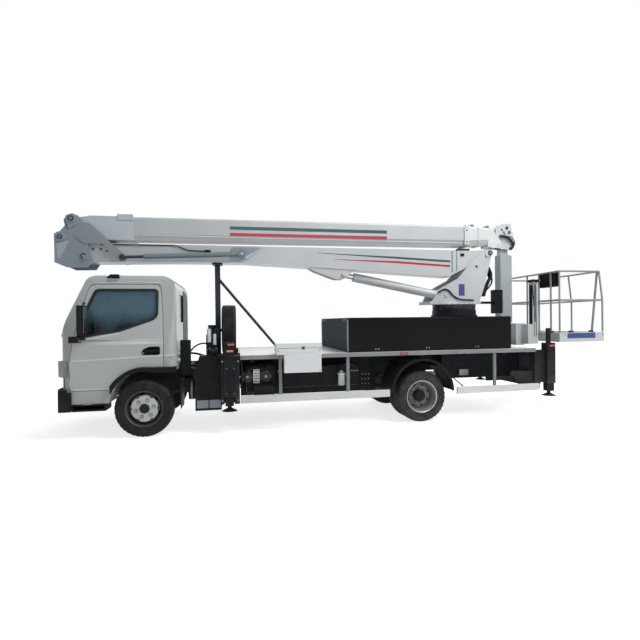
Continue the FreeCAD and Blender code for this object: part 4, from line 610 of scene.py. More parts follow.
def front_wheel(side, sign):
    """Tyre and rim of one front wheel."""
    y = FRONT_TRACK
    tyre_looks(side, "front_tyre", "rubber", 0.0, [sign * y])
    rim = Piece("dark_rim")
    rim.turned(RIM, (0.0, sign * y, AXLE_Z), sides=72, out=sign)
    for material, sides, profile in FRONT_TURNED:
        ripple = front_disc_edge if sides == DISC_SIDES else None
        rim.use(material).turned(profile, (0.0, sign * y, AXLE_Z), sides=sides, ripple=ripple, out=sign)
    rim_studs(rim, sign, 0.0, y, FRONT_NUT)
    rim_holes(rim, sign, 0.0, 0.187, STUDS, 0.20 + math.pi / STUDS, y + 0.020, y + 0.034, 0.024)
    rim.make(f"front_rim_{side}_looks", f"front_wheel_{side}", bevel=0.0012, smooth=35,
             replaces=[f"front_rim_{side}"])


def rear_wheels(side, sign):
    """Twin tyres and rims of one side."""
    y = REAR_OUTER
    tyre_looks(side, "rear_tyres", "dusty_rubber", REAR_AXLE, [sign * y, sign * REAR_INNER])
    rims = Piece("rim_paint")
    rims.turned(RIM, (REAR_AXLE, sign * y, AXLE_Z), sides=72, out=sign)
    rims.use("dull_rim").turned(RIM, (REAR_AXLE, sign * REAR_INNER, AXLE_Z), sides=72, out=-sign)
    for material, sides, profile in REAR_TURNED:
        rims.use(material).turned(profile, (REAR_AXLE, sign * y, AXLE_Z), sides=sides, out=sign)
    rim_studs(rims, sign, REAR_AXLE, y, REAR_NUT)
    rim_holes(rims, sign, REAR_AXLE, 0.166, HAND_HOLES, 0.35, y - 0.068, y - 0.0545, 0.019)
    rims.make(f"rear_rims_{side}_looks", f"rear_wheel_{side}", bevel=0.0012, smooth=35,
              replaces=[f"rear_rims_{side}"])


def spare():
    """Spare wheel on its carrier behind the cab."""
    low, high = box_of("spare_wheel")
    centre = (low + high) / 2
    wheel = Piece("rubber")
    wheel.turned(TYRE, centre, axis="x", sides=TYRE_SIDES, ripple=lug)
    disc = [(0.082, 0.236), (0.086, 0.230), (0.078, 0.2205), (0.035, 0.205), (0.0, 0.19), (-0.02, 0.12),
            (-0.02, 0.05)]
    back = [(-0.082, 0.236), (-0.086, 0.230), (-0.078, 0.2205), (-0.03, 0.2), (0.0, 0.19)]
    for profile in (disc, back):
        wheel.use("dull_rim").turned(profile, centre, axis="x", sides=72)
    wheel.make("spare_wheel_looks", "chassis", bevel=0, smooth=28, replaces=["spare_wheel"])


# ------------------------------------------------------------------ cab
CAB_SIDE, CAB_BELT, CAB_LEAN = 0.860, 1.250, 0.0722
DOOR_WINDOW = [(-0.818, 1.311, 0.018), (-0.770, 1.545, 0.300), (-0.598, 1.938, 0.075), (0.170, 1.938, 0.040),
               (0.164, 1.560, 0.110), (-0.298, 1.395, 0.600)]
WINDOW_BAND = (
    # distance out from the window's edge, distance out from the door's skin
    (0.013, -0.024), (0.013, 0.003), (0.0065, 0.005), (-0.0095, 0.005), (-0.019, -0.0072), (-0.019, -0.024),
)
DOOR_CREASES = (
    # start (x, z), end (x, z), half height, how proud
    ((-0.897, 1.010), (0.230, 1.054), 0.013, 0.007),
    ((-0.897, 0.642), (-0.372, 0.640), 0.010, 0.005),
    ((-0.838, 1.272), (-0.300, 1.362), 0.010, 0.004),
)
HANDLE_PLATE = [(-0.040, 1.072, 0.030), (-0.030, 1.140, 0.060), (0.060, 1.182, 0.120), (0.196, 1.182, 0.022),
                (0.196, 1.070, 0.022)]
HANDLE_GRIP = [(0.000, 1.100, 0.012), (0.004, 1.140, 0.012), (0.182, 1.146, 0.012), (0.182, 1.104, 0.012)]
MIRRORS = (
    # x of the rear face, |y| from and to, z from and to
    (-0.665, 0.945, 1.122, 1.360, 1.722),
    (-0.745, 0.920, 1.070, 1.255, 1.335),
)
SCREEN_LOW, SCREEN_HIGH, SCREEN_HALF = 1.338, 2.032, 0.745


def cab_side(z):
    """Half width of the cab's outer skin at a height."""
    return CAB_SIDE - max(0.0, z - CAB_BELT) * CAB_LEAN


def rounded(points, steps=6):
    """Outline through (u, v, corner radius) points with its corners as arcs."""
    line = []
    for before, (u, v, radius), after in zip(points[-1:] + points[:-1], points, points[1:] + points[:1]):
        here = Vector((u, v))
        into, out = (Vector(before[:2]) - here).normalized(), (Vector(after[:2]) - here).normalized()
        half = into.angle(out) / 2
        centre = here + (into + out).normalized() * (radius / math.sin(half))
        start, end = here + into * radius / math.tan(half), here + out * radius / math.tan(half)
        first, sweep = start - centre, (start - centre).angle_signed(end - centre)
        line += [centre + Matrix.Rotation(-sweep * i / steps, 2) @ first for i in range(steps + 1)]
    return line


def grown(line, amount):
    """Outline moved outwards by an amount."""
    area = sum(a.x * b.y - b.x * a.y for a, b in zip(line, line[1:] + line[:1]))
    way = amount * math.copysign(1.0, area)
    moved = []
    for before, here, after in zip(line[-1:] + line[:-1], line, line[1:] + line[:1]):
        along = (after - before).normalized()
        moved.append(here + Vector((along.y, -along.x)) * way)
    return moved


def crease(piece, sign, start, end, high, proud):
    """Pressed line along the cab's side from one (x, z) place to another."""
    section = ((-0.004, -high), (proud * 0.35, -high * 0.8), (proud, 0.0), (proud * 0.7, high * 0.55),
               (-0.004, high))
    rings = [[(x, sign * (cab_side(z) + out), z + up) for out, up in section] for x, z in (start, end)]
    piece.loop(rings)


def door_looks(side, sign):
    """Window rubber, creases, handle and lock of one door."""
    body = f"door_{side}_body"
    rubber = Piece("hose_rubber")
    edge = rounded(DOOR_WINDOW)
    rows = []
    for out, lift in WINDOW_BAND:
        rows.append([(p.x, sign * (cab_side(p.y) + lift), p.y) for p in grown(edge, out)])
    rubber.loop(rows + rows[:1], cap=False)
    rubber.make(f"door_{side}_window_rubber", body, bevel=0, smooth=50)
    # The creases are painted lighter than the cab, as a painted highlight of the light they catch.
    lines = Piece("crease_highlight_paint")
    for row in DOOR_CREASES:
        crease(lines, sign, *row)
    lines.make(f"door_{side}_creases", body, bevel=0.0015)
    plate, grip = rounded(HANDLE_PLATE), rounded(HANDLE_GRIP)
    handle = Piece("black_plastic")
    for material, outline, near, far in (("black_plastic", plate, -0.0025, 0.0035),
                                         ("dark_gap", grown(plate, -0.012), 0.0030, 0.0042),
                                         ("black_plastic", grip, 0.0035, 0.0180)):
        handle.use(material).prism(outline, "xz", sign * (CAB_SIDE + near), sign * (CAB_SIDE + far))
    handle.use("bare_steel").boss(sign, -0.012, 1.098, CAB_SIDE + 0.002, CAB_SIDE + 0.0065, 0.011, 0.010)
    handle.make(f"door_{side}_handle", body, bevel=0.0015)


def mirror_looks(side, sign):
    """Glass and rim of the door mirrors, on the housings' rear faces."""
    glass = Piece("chrome_rod")
    for x, y0, y1, z0, z1 in MIRRORS:
        y, z, a, b = (y0 + y1) / 2, (z0 + z1) / 2, (y1 - y0) / 2 - 0.014, (z1 - z0) / 2 - 0.014
        pane = rounded([(-a, -b, 0.02), (-a, b, 0.02), (a, b, 0.02), (a, -b, 0.02)])
        for material, line, near, far in (("black_plastic", grown(pane, 0.008), -0.001, 0.003),
                                          ("chrome_rod", pane, 0.0025, 0.0042)):
            glass.use(material).prism([(sign * y + p.x, z + p.y) for p in line], "yz", x + near, x + far)
    glass.make(f"mirror_{side}_glass", f"door_{side}_body", bevel=0.001)


def cab_sides():
    """Creases behind the doors and the roof gutters, in paint lighter than the cab as a painted highlight."""
    lines = Piece("crease_highlight_paint")
    gutter = ((-0.560, 2.022), (-0.300, 2.036), (0.150, 2.036), (0.240, 2.010))
    for _, sign in SIDES:
        crease(lines, sign, (0.246, 1.055), (0.392, 1.061), 0.013, 0.007)
        lines.tube([(x, sign * (cab_side(z) + 0.001), z) for x, z in gutter], 0.007)
    lines.make("cab_side_creases", "chassis", bevel=0.001)


def nose(y, z, ahead=0.0, up=0.0):
    """A place on the cab's front, or ahead of it."""
    return hit("cab_shell", (-2.0, y, z), (1, 0, 0)) + Vector((-ahead, 0, up))


def nose_line(half, z, steps=10):
    """Level line over the cab's front, from left to right."""
    return [nose(half * (2 * i / steps - 1), z) for i in range(steps + 1)]


def cab_front():
    """Screen rubber, wipers and the two seams below it."""
    rubber = Piece("hose_rubber")
    screen = nose_line(SCREEN_HALF, SCREEN_LOW, 12) + nose_line(SCREEN_HALF, SCREEN_HIGH, 12)[::-1]
    rubber.tube(screen + screen[:1], 0.012, sides=8, steps=2)
    rubber.use("black_plastic")
    for y in (-0.42, 0.18):
        foot, elbow = nose(y, 1.300, 0.004), nose(y + 0.20, 1.318, 0.022, 0.012)
        rubber.rod(foot, foot - Vector((0.03, 0, 0)), 0.016)
        rubber.rod(foot - Vector((0.024, 0, 0)), elbow, 0.008)
        rubber.rod(elbow - Vector((0, 0.2, 0)), nose(y + 0.42, 1.322, 0.020, 0.010), 0.007)
    rubber.use("dark_gap")
    for z in (1.245, 1.215):
        rubber.tube(nose_line(0.62, z), 0.006, sides=6, steps=2)
    rubber.make("cab_front_rubber", "chassis", bevel=0.001, smooth=50)


def cab_grille():
    """Level bars of the grille."""
    grille = Piece("black_plastic")
    for z in (0.715, 0.765, 0.815, 0.865, 0.915):
        grille.tube(nose_line(0.40, z), 0.011, sides=6, steps=2)
    grille.make("cab_grille_bars", "chassis", bevel=0, smooth=50)


# ------------------------------------------------------------------ booms, knuckle and turret
BOOM_STRIPES = (
    # node, body, (material, (x, lowest z, highest z) places along it) bands
    ("upper_boom_outer", "upper_outer", (
        ("green_stripe", ((1.122, 2.901, 2.951), (3.625, 2.905, 2.956))),
        ("red_stripe", ((1.122, 2.806, 2.852), (3.625, 2.812, 2.860))),
    )),
    ("lower_boom", "lower_boom_body", (
        ("green_stripe", ((2.480, 2.566, 2.572), (3.780, 2.499, 2.531), (4.734, 2.450, 2.486))),
        ("red_stripe", ((2.740, 2.469, 2.475), (3.780, 2.426, 2.460), (4.726, 2.372, 2.408))),
    )),
)
BAND_PROUD, BAND_SINK = 0.0012, 0.002
BOOM_LUGS = (("upper_mid", 5.182, 3.066), ("upper_inner", 5.470, 3.053))
LUG_OUTLINE = ((-0.060, -0.006), (-0.040, 0.050), (0.030, 0.062), (0.056, -0.006))
LOWER_PINS = ((-0.809, 2.567, 0.020), (-0.702, 2.569, 0.020), (-0.622, 2.542, 0.017))
LOWER_PLATES = (
    # material, x, |y|, z ranges
    ("hose_rubber", 4.885, 5.095, 0.060, 0.150, 2.645, 2.690),
    ("black_paint", 4.915, 4.985, 0.158, 0.170, 2.560, 2.605),
    ("grey_paint", 4.760, 4.778, 0.158, 0.170, 2.300, 2.640),
    ("grey_paint", 4.842, 4.856, 0.158, 0.168, 2.320, 2.640),
)
WING = ((1.156, 2.632), (1.600, 2.634), (1.345, 2.486), (1.156, 2.506))
KNUCKLE_PINS = ((-0.925, 2.462, 0.042), (-1.221, 2.725, 0.036), (-1.075, 2.985, 0.044),
                (-1.120, 2.880, 0.026))
# outline, (x, z), of the painted facet highlight on the knuckle's cheeks
FACET_HIGHLIGHT = ((-1.275, 2.640), (-1.110, 2.672), (-1.235, 2.405), (-1.262, 2.430))
TURRET_PINS = ((5.428, 2.613, 0.042), (5.176, 2.381, 0.020))
TURRET_MIDDLE = (4.868, 0.0)
TURRET_HOSE = ((5.352, -0.188, 2.462), (5.430, -0.182, 2.365), (5.475, -0.182, 2.240), (5.420, -0.176, 2.110),
               (5.372, -0.170, 1.980), (5.335, -0.188, 1.885))


def strip(piece, node, sign, places):
    """Painted band lying on a node's side, through (x, lowest z, highest z) places."""
    rings = []
    for start, end in zip(places, places[1:]):
        count = max(2, int((end[0] - start[0]) / 0.1))
        for i in range(1 if rings else 0, count + 1):
            x, low, high = Vector(start).lerp(Vector(end), i / count)
            y = skin(node, sign, x, (low + high) / 2)
            section = ((-BAND_SINK, low), (BAND_PROUD, low), (BAND_PROUD, high), (-BAND_SINK, high))
            rings.append([(x, sign * (y + lift), z) for lift, z in section])
    piece.loop(rings)


def stripes():
    """Green and red bands on both sides of the upper and lower booms."""
    for node, body, rows in BOOM_STRIPES:
        bands = Piece("green_stripe")
        for material, places in rows:
            for _, sign in SIDES:
                strip(bands.use(material), node, sign, places)
        bands.make(f"{node}_stripes", body, bevel=0)


def upper_boom_details():
    """Cover plates and painted highlights along the lower edges of the upper boom, with the lugs of its inner
    sections.
    """
    ends = Piece("boom_paint")
    for _, sign in SIDES:
        ends.use("boom_paint").side_box(sign, 4.995, 5.078, 0.156, 0.166, 2.760, 3.040)
        for z in (2.80, 3.00):
            ends.use("bare_steel").side_bolt(sign, 5.036, 0.165, z, 0.012, 0.008)
    ends.make("upper_boom_trim", "upper_outer", bevel=0.002)
    # White strips painted along the lower edge of both sides, as the highlight where the side turns into its
    # chamfer.
    edges = Piece("painted_highlight_white")
    for _, sign in SIDES:
        strip(edges, "upper_boom_outer", sign, ((-0.250, 2.783, 2.799), (4.990, 2.783, 2.799)))
    edges.make("upper_boom_painted_highlights", "upper_outer", bevel=0)
    for body, x, z in BOOM_LUGS:
        lugs = Piece("grey_paint")
        outline = [(x + dx, z + dz) for dx, dz in LUG_OUTLINE]
        for y in (-0.070, 0.020):
            lugs.prism(outline, "xz", y, y + 0.050)
        lugs.use("bare_steel").rod((x, -0.078, z + 0.030), (x, 0.078, z + 0.030), 0.018)
        lugs.make(f"{body}_lug", body, bevel=0.003)


def lower_boom_details():
    """Clips, pins, wings and end plates of the lower boom."""
    line = Piece("bare_steel")
    for x, z in ((-0.210, 2.640), (0.335, 2.635)):
        line.box(x - 0.020, x + 0.020, -0.178, -0.158, z - 0.014, z + 0.014)
    line.use("black_paint").box(0.745, 0.835, -0.182, -0.160, 2.548, 2.580)
    for _, sign in SIDES:
        for x, z, r in LOWER_PINS:
            face = skin("lower_boom", sign, x, z)
            line.use("bare_steel").boss(sign, x, z, face - 0.01, face + 0.003, r, sides=24)
            line.use("hose_rubber").boss(sign, x, z, face + 0.002, face + 0.005, r * 0.75)
        line.use("grey_paint").prism(WING, "xz", sign * 0.178, sign * 0.1815)
        for material, *ranges in LOWER_PLATES:
            line.use(material).side_box(sign, *ranges)
    line.make("lower_boom_trim", "lower_boom_body", bevel=0.0012)


def knuckle_details():
    """Pin bosses, and a lighter patch painted on the knuckle's cheeks as the highlight of a bent facet."""
    plates = Piece("grey_paint")
    for _, sign in SIDES:
        for x, z, r in KNUCKLE_PINS:
            face = skin("boom_knuckle", sign, x, z)
            plates.use("grey_paint").boss(sign, x, z, face - 0.004, face + 0.006, r * 1.45, r * 1.35, 36)
            plates.use("cast").boss(sign, x, z, face, face + 0.010, r, r * 0.92, sides=32)
            plates.use("bare_steel").boss(sign, x, z, face, face + 0.013, r * 0.45)
        # Painted highlight: a lighter patch where a bent facet of the cheek would catch the light.
        face = skin("boom_knuckle", sign, -1.19, 2.56)
        plates.use("facet_highlight_grey").prism(FACET_HIGHLIGHT, "xz", sign * (face - 0.002), sign * (face + 0.0015))
    plates.make("boom_knuckle_trim", "boom_knuckle_body", bevel=0.001)


def turret_details():
    """Pins, blue plates, ring bolts and hoses of the turret."""
    kit = Piece("dark_gap")
    for _, sign in SIDES:
        for x, z, r in TURRET_PINS:
            face = skin("turret", sign, x - 0.02, z)
            kit.use("dark_gap").boss(sign, x, z, face - 0.01, face + 0.006, r, sides=32)
            kit.use("bare_steel").boss(sign, x, z, face, face + 0.012, r * 0.7, sides=28)
        face = skin("turret", sign, 4.90, 1.98)
        kit.use("blue_panel").side_box(sign, 4.848, 4.955, face - 0.001, face + 0.0015, 1.89, 2.085)
    kit.use("bare_steel")
    for x, y in round_places(*TURRET_MIDDLE, 0.362, 24, 0.0):
        kit.bolt((x, y, 1.7485), (0, 0, 1), 0.010, 0.008)
    for dy in (0.0, 0.030, 0.060):
        kit.use("hose_rubber").tube([(x, y + dy, z) for x, y, z in TURRET_HOSE], 0.017)
    kit.use("black_paint").box(4.455, 4.520, -0.392, -0.340, 1.660, 1.742)
    kit.make("turret_trim", "turret_body", bevel=0.001)


# ------------------------------------------------------------------ deck, lockers, jacks and running gear
def deck_details():
    """Side reflectors, rail bolts and the seams of the deck's edge."""
    kit = Piece("dark_gap")
    for _, sign in SIDES:
        for x in (1.765, 3.500):
            kit.use("dark_gap").pad("deck", sign, x - 0.008, x + 0.108, 0.997, 1.034, 0.002)
            kit.use("red_lens").pad("deck", sign, x, x + 0.100, 1.001, 1.030, 0.007)
        kit.use("bare_steel")
        for x in (1.40 + i * 0.195 for i in range(22)):
            kit.side_bolt(sign, x, skin("deck", sign, x, 1.016), 1.016, 0.006, 0.004)
        kit.use("dark_gap")
        for x in (1.262, 4.36, 5.645):
            y = skin("deck", sign, x, 1.02)
            kit.side_box(sign, x - 0.0015, x + 0.0015, y - 0.002, y + 0.0008, 0.990, 1.044)
    kit.make("deck_edge_kit", "chassis", bevel=0.001)


def locker_details():
    """Latches and hinge gaps of the locker lids, and the light end posts ahead of them."""
    for side, sign in SIDES:
        lid = f"locker_lid_{side}"
        kit = Piece("bare_steel")
        for x in (3.166, 3.935, 4.720):
            kit.use("bare_steel").pad(lid, sign, x - 0.030, x + 0.030, 1.076, 1.098, 0.003)
            kit.use("black_paint").pad(lid, sign, x - 0.012, x + 0.012, 1.070, 1.104, 0.009)
            kit.use("dark_gap").side_box(sign, x - 0.020, x + 0.020, 1.004, 1.0065, 1.464, 1.470)
        kit.make(f"{lid}_latches", f"lid_{side}", bevel=0.001)
    posts = Piece("grey_paint")
    for _, sign in SIDES:
        posts.use("grey_paint").side_box(sign, 2.741, 2.7455, 0.935, 0.992, 1.060, 1.500)
        for z in (1.12, 1.28, 1.44):
            posts.use("bare_steel").bolt((2.741, sign * 0.963, z), (-1, 0, 0), 0.008, 0.006)
        posts.use("black_paint").side_box(sign, 2.742, 2.7455, 0.655, 0.932, 1.490, 1.534)
    posts.make("locker_end_trim", "chassis", bevel=0.0015)


HEAD_LENSES = ((1.122, 1.196, "red_lens"), (1.108, 1.109, "amber_lens"))
REAR_PLATES = (
    # material, x, |y|, z ranges
    ("red_lens", 5.905, 6.000, 1.050, 1.061, 1.062, 1.092),
    ("black_paint", 5.840, 5.905, 0.72, 0.84, 0.455, 0.545),
    ("red_lens", 5.900, 5.912, 0.73, 0.83, 0.500, 0.540),
    ("amber_lens", 5.900, 5.912, 0.73, 0.83, 0.460, 0.498),
    ("black_paint", 5.660, 5.965, 0.590, 0.600, 0.640, 0.946),
    ("amber_lens", -0.745, -0.645, 0.879, 0.885, 0.452, 0.468),
    ("black_paint", 4.895, 5.245, 0.925, 0.965, 0.565, 0.622),
    ("bare_steel", 4.620, 4.775, 0.600, 0.640, 0.618, 0.712),
)


def jack_details():
    """Reflectors of the outrigger heads, with the lamps, reflectors and plates along the sides."""
    kit = Piece("black_paint")
    for _, sign in SIDES:
        for x, z, lens in HEAD_LENSES:
            y = skin("outriggers", sign, x, z)
            for material, dx, dy, dz in (("black_paint", 0.050, 0.003, 0.020), (lens, 0.044, 0.007, 0.014)):
                kit.use(material).side_box(sign, x - dx, x + dx, y - 0.004, y + dy, z - dz, z + dz)
        for material, *ranges in REAR_PLATES:
            kit.use(material).side_box(sign, *ranges)
        stay = (4.338, sign * 1.000, 0.628), (4.486, sign * 1.000, 0.506)
        kit.use("black_paint").rod(*stay, 0.009, sides=14)
    kit.make("reflectors_and_plates", "chassis", bevel=0.0015)


TANK_ENDS, TANK_END_Y, TANK_END_Z = (1.335, 1.590), -0.800, 0.735
TANK_CAP = [(0.0, 0.078), (0.020, 0.082), (0.024, 0.060), (0.050, 0.056), (0.054, 0.030), (0.064, 0.028),
            (0.064, 0.0)]
TANK_HUB = [(0.0, 0.022), (0.070, 0.020), (0.074, 0.0)]
TANK_PIPE = [(1.26, -0.82, 0.86), (1.30, -0.84, 0.80), (1.42, -0.845, 0.86), (1.56, -0.83, 0.83),
             (1.66, -0.82, 0.88)]
FILTER = [(0.560, 0.0), (0.560, 0.046), (0.575, 0.052), (0.700, 0.052), (0.712, 0.060), (0.740, 0.060),
          (0.748, 0.030), (0.770, 0.028), (0.770, 0.0)]
FILTER_PIPE = [(2.690, -0.765, 0.768), (2.700, -0.765, 0.83), (2.78, -0.745, 0.86), (2.92, -0.72, 0.84)]


def tank_details():
    """End caps, a ribbed cover and a pipe on the left tanks, and an upright filter behind them."""
    kit = Piece("cast")
    y, z = TANK_END_Y, TANK_END_Z
    for x in TANK_ENDS:
        kit.use("cast").turned(TANK_CAP, (x, y, z), sides=40, out=-1)
        kit.use("bare_steel").turned(TANK_HUB, (x, y, z), sides=24, out=-1)
        for px, pz in round_places(x, z, 0.066, 5, 0.0):
            kit.bolt((px, y - 0.020, pz), (0, -1, 0), 0.006, 0.005)
    kit.use("galvanised").box(1.420, 1.505, y - 0.030, y + 0.002, 0.640, 0.830)
    for low in (0.665, 0.700, 0.735, 0.770, 0.805):
        kit.use("dark_gap").box(1.428, 1.497, y - 0.033, y - 0.028, low, low + 0.012)
    kit.use("hose_rubber").tube(TANK_PIPE, 0.010)
    kit.use("galvanised").turned(FILTER, (2.690, -0.765, 0.0), axis="z", sides=36)
    kit.use("bare_steel").box(2.670, 2.710, -0.715, -0.700, 0.690, 0.770)
    kit.use("hose_rubber").tube(FILTER_PIPE, 0.011)
    kit.use("bare_steel")
    for x in (2.86, 2.90, 2.94):
        kit.rod((x, -0.702, 0.760), (x, -0.735, 0.760), 0.010, sides=14)
    for i in range(9):
        kit.bolt((3.02 + 0.05 * (i % 3), -0.700, 0.56 + 0.07 * (i // 3)), (0, -1, 0), 0.006, 0.005)
    kit.make("under_deck_kit", "chassis", bevel=0.001)


def housing_details():
    """Bolted covers and hoses of the outrigger housings."""
    kit = Piece("black_paint")
    for _, sign in SIDES:
        y = skin("outriggers", sign, 1.109, 0.90)
        kit.use("bare_steel")
        for x, z in ((1.005, 0.45), (1.212, 0.45), (1.005, 0.97), (1.212, 0.97)):
            kit.side_bolt(sign, x, skin("outriggers", sign, x, z), z, 0.009, 0.007)
        kit.use("black_paint").side_box(sign, 1.050, 1.168, y - 0.002, y + 0.004, 0.520, 0.900)
        kit.use("bare_steel")
        for x, z in ((1.062, 0.545), (1.156, 0.545), (1.062, 0.875), (1.156, 0.875)):
            kit.side_bolt(sign, x, y + 0.004, z, 0.005, 0.004)
        hose = ((1.245, 0.985, 0.995), (1.262, 0.990, 0.90), (1.262, 0.985, 0.70), (1.245, 0.98, 0.62))
        kit.use("hose_rubber").tube([(x, sign * out, z) for x, out, z in hose], 0.009)
    kit.make("outrigger_kit", "chassis", bevel=0.001)


def cab_back():
    """Gasket, roof marker, pipes and air tanks behind the cab."""
    kit = Piece("hose_rubber")
    gasket = rounded([(0.03, 1.12, 0.06), (0.03, 1.99, 0.10), (0.66, 1.94, 0.16), (0.69, 1.12, 0.06)])
    kit.prism(gasket, "yz", 0.399, 0.405)
    top = hit("cab_shell", (-0.40, -0.55, 3.0), (0, 0, -1)).z
    wedge = [(-0.480, top - 0.040), (-0.425, top + 0.012), (-0.330, top + 0.014), (-0.300, top - 0.050)]
    kit.use("black_plastic").prism(wedge, "xz", -0.790, -0.640)
    corners = ((-0.500, 2.020), (-0.380, 2.020), (-0.310, 2.075), (-0.450, 2.080))
    plate = [Vector((x, -(cab_side(z) + 0.002), z)) for x, z in corners]
    kit.use("grey_paint").loop([plate, [p + Vector((0.0, 0.020, 0.0)) for p in plate]])
    for y in (-0.30, -0.22, -0.14):
        pipe = [(0.405, y, 0.98), (0.50, y - 0.02, 1.04), (0.62, y + 0.02, 1.03), (0.74, y, 0.99)]
        kit.use("hose_rubber").tube(pipe, 0.010)
    intake_pipe = [(0.44, 0.30, 0.99), (0.56, 0.32, 1.12), (0.70, 0.30, 1.16), (0.80, 0.25, 1.10)]
    kit.use("bare_steel").tube(intake_pipe, 0.014)
    for _, sign in SIDES:
        air_tank(kit, sign)
    kit.make("cab_back_kit", "chassis", bevel=0.002)


def air_tank(kit, sign):
    """Brake air tank beside the frame behind the front wheel, with its straps and hangers."""
    y, z = sign * 0.655, 0.560
    kit.use("black_plastic").rod((0.545, y, z), (0.730, y, z), 0.130, sides=32)
    for x in (0.575, 0.675):
        kit.use("grey_paint").rod((x, y, z), (x + 0.025, y, z), 0.134, sides=32)
        kit.use("black_plastic").side_box(sign, x, x + 0.025, 0.374, 0.640, z + 0.040, 0.790)


def valve_details():
    """Spools, filters and hoses on the valve block."""
    x0, y, _ = box_of("valve_block")[0]
    kit = Piece("bare_steel")
    for i in range(4):
        x, z = x0 + 0.025 + i * 0.044, 1.10 + 0.02 * (i % 2)
        kit.use("bare_steel").rod((x, y + 0.004, z), (x, y - 0.030, z), 0.014, sides=16)
        hose = [(x, y - 0.028, z), (x + 0.004, y - 0.055, z - 0.02), (x + 0.010, y - 0.060, z - 0.09),
                (x + 0.015, y - 0.045, 1.000)]
        kit.use("hose_rubber").tube(hose, 0.009)
    x = x0 + 0.060
    kit.use("galvanised").rod((x, y - 0.030, 1.215), (x, y - 0.030, 1.400), 0.030, sides=28)
    kit.use("bare_steel").rod((x, y - 0.030, 1.400), (x, y - 0.030, 1.420), 0.018, sides=6)
    x = x0 + 0.135
    kit.use("galvanised").rod((x, y - 0.024, 1.180), (x, y - 0.024, 1.330), 0.024, sides=28)
    hose = [(x, y - 0.024, 1.330), (x + 0.015, y - 0.03, 1.40), (x + 0.040, y - 0.01, 1.38),
            (x + 0.045, y, 1.28)]
    kit.use("hose_rubber").tube(hose, 0.010)
    kit.make("valve_kit", "chassis", bevel=0.001)


BATTERY_FACE, BATTERY_SIDE = -0.8635, -0.858


def battery_details():
    """Two bolted panels and three ribs on the battery box."""
    panels = Piece("grey_paint")
    for x in (0.662, 0.826):
        panels.use("grey_paint").box(x, x + 0.150, BATTERY_FACE, BATTERY_SIDE, 0.332, 0.440)
        for dx in (0.012, 0.138):
            panels.use("bare_steel").bolt((x + dx, BATTERY_FACE, 0.386), (0, -1, 0), 0.005, 0.004)
    for z in (0.50, 0.56, 0.62):
        panels.use("black_paint").box(0.665, 0.965, BATTERY_FACE, BATTERY_SIDE, z, z + 0.020)
    panels.make("battery_box_panels", "chassis", bevel=0.0015)


def control_details():
    """Lid seam, latch, lower edge and bolts of the ground control box."""
    low, high = box_of("ground_control_box")
    x0, x1, y, top = low.x, high.x, low.y, high.z
    kit = Piece("dark_gap")
    kit.box(x0 + 0.006, x1 - 0.006, y - 0.0004, y + 0.002, top - 0.070, top - 0.066)
    kit.use("bare_steel").box(2.055, 2.105, y - 0.0010, y + 0.002, top - 0.090, top - 0.045)
    kit.use("dark_gap").box(2.068, 2.092, y - 0.0016, y, top - 0.078, top - 0.055)
    kit.use("galvanised").box(x0 + 0.09, x1 - 0.09, y - 0.0012, y + 0.002, top - 0.136, top - 0.128)
    kit.use("bare_steel")
    for x in (x0 + 0.024, x1 - 0.024):
        for z in (low.z + 0.028, top - 0.098):
            kit.bolt((x, y + 0.0003, z), (0, -1, 0), 0.007, 0.0018)
    kit.make("ground_control_kit", "chassis", bevel=0.001)


# ------------------------------------------------------------------ basket, jib head and seats
SLEEVE_HOSE = [(6.12, -0.42, 2.12), (6.05, -0.47, 2.10), (6.03, -0.50, 1.95), (6.07, -0.46, 1.80),
               (6.11, -0.42, 1.72)]
JIB_HOSE = [(5.700, -0.098, 2.930), (5.770, -0.104, 2.925), (5.850, -0.106, 2.900), (5.920, -0.106, 2.840),
            (5.948, -0.104, 2.775), (5.925, -0.092, 2.725), (5.895, -0.070, 2.712)]
JIB_PINS = ((5.845, 3.075, 0.030), (5.890, 3.000, 0.026), (5.745, 3.045, 0.018))
SEATS = ((-0.460, 0.400), (-0.005, 0.290), (0.455, 0.470))
CUSHION_POWER, CUSHION_RINGS, CUSHION_SIDES = 0.28, 14, 36


def basket_details():
    """Kick-plate panels, mast slots, clips, bolts and a hose of the basket."""
    kit = Piece("blue_panel")
    for _, sign in SIDES:
        y = skin("basket", sign, 6.63, 1.21)
        kit.side_box(sign, 6.375, 6.890, y - 0.001, y + 0.0015, 1.172, 1.255)
    kit.use("bare_steel")
    for x in (6.345, 6.93, 7.03):
        kit.bolt((x, -skin("basket", -1, x, 1.21), 1.225), (0, -1, 0), 0.008, 0.006)
    kit.use("black_paint")
    for x in (6.112, 6.152):
        kit.box(x, x + 0.010, -0.4115, -0.409, 1.200, 2.050)
    kit.box(6.086, 6.0895, -0.405, -0.330, 1.200, 2.060)
    for x in (6.100, 6.459, 6.829):
        kit.use("black_paint").box(x - 0.035, x + 0.035, -0.858, -0.826, 1.262, 1.296)
        kit.use("bare_steel").bolt((x, -0.858, 1.279), (0, -1, 0), 0.007, 0.005)
    kit.use("black_paint").box(6.075, 6.205, -0.425, -0.300, 2.110, 2.150)
    kit.use("hose_rubber").tube(SLEEVE_HOSE, 0.008)
    kit.make("basket_kit", "basket_body", bevel=0.001)


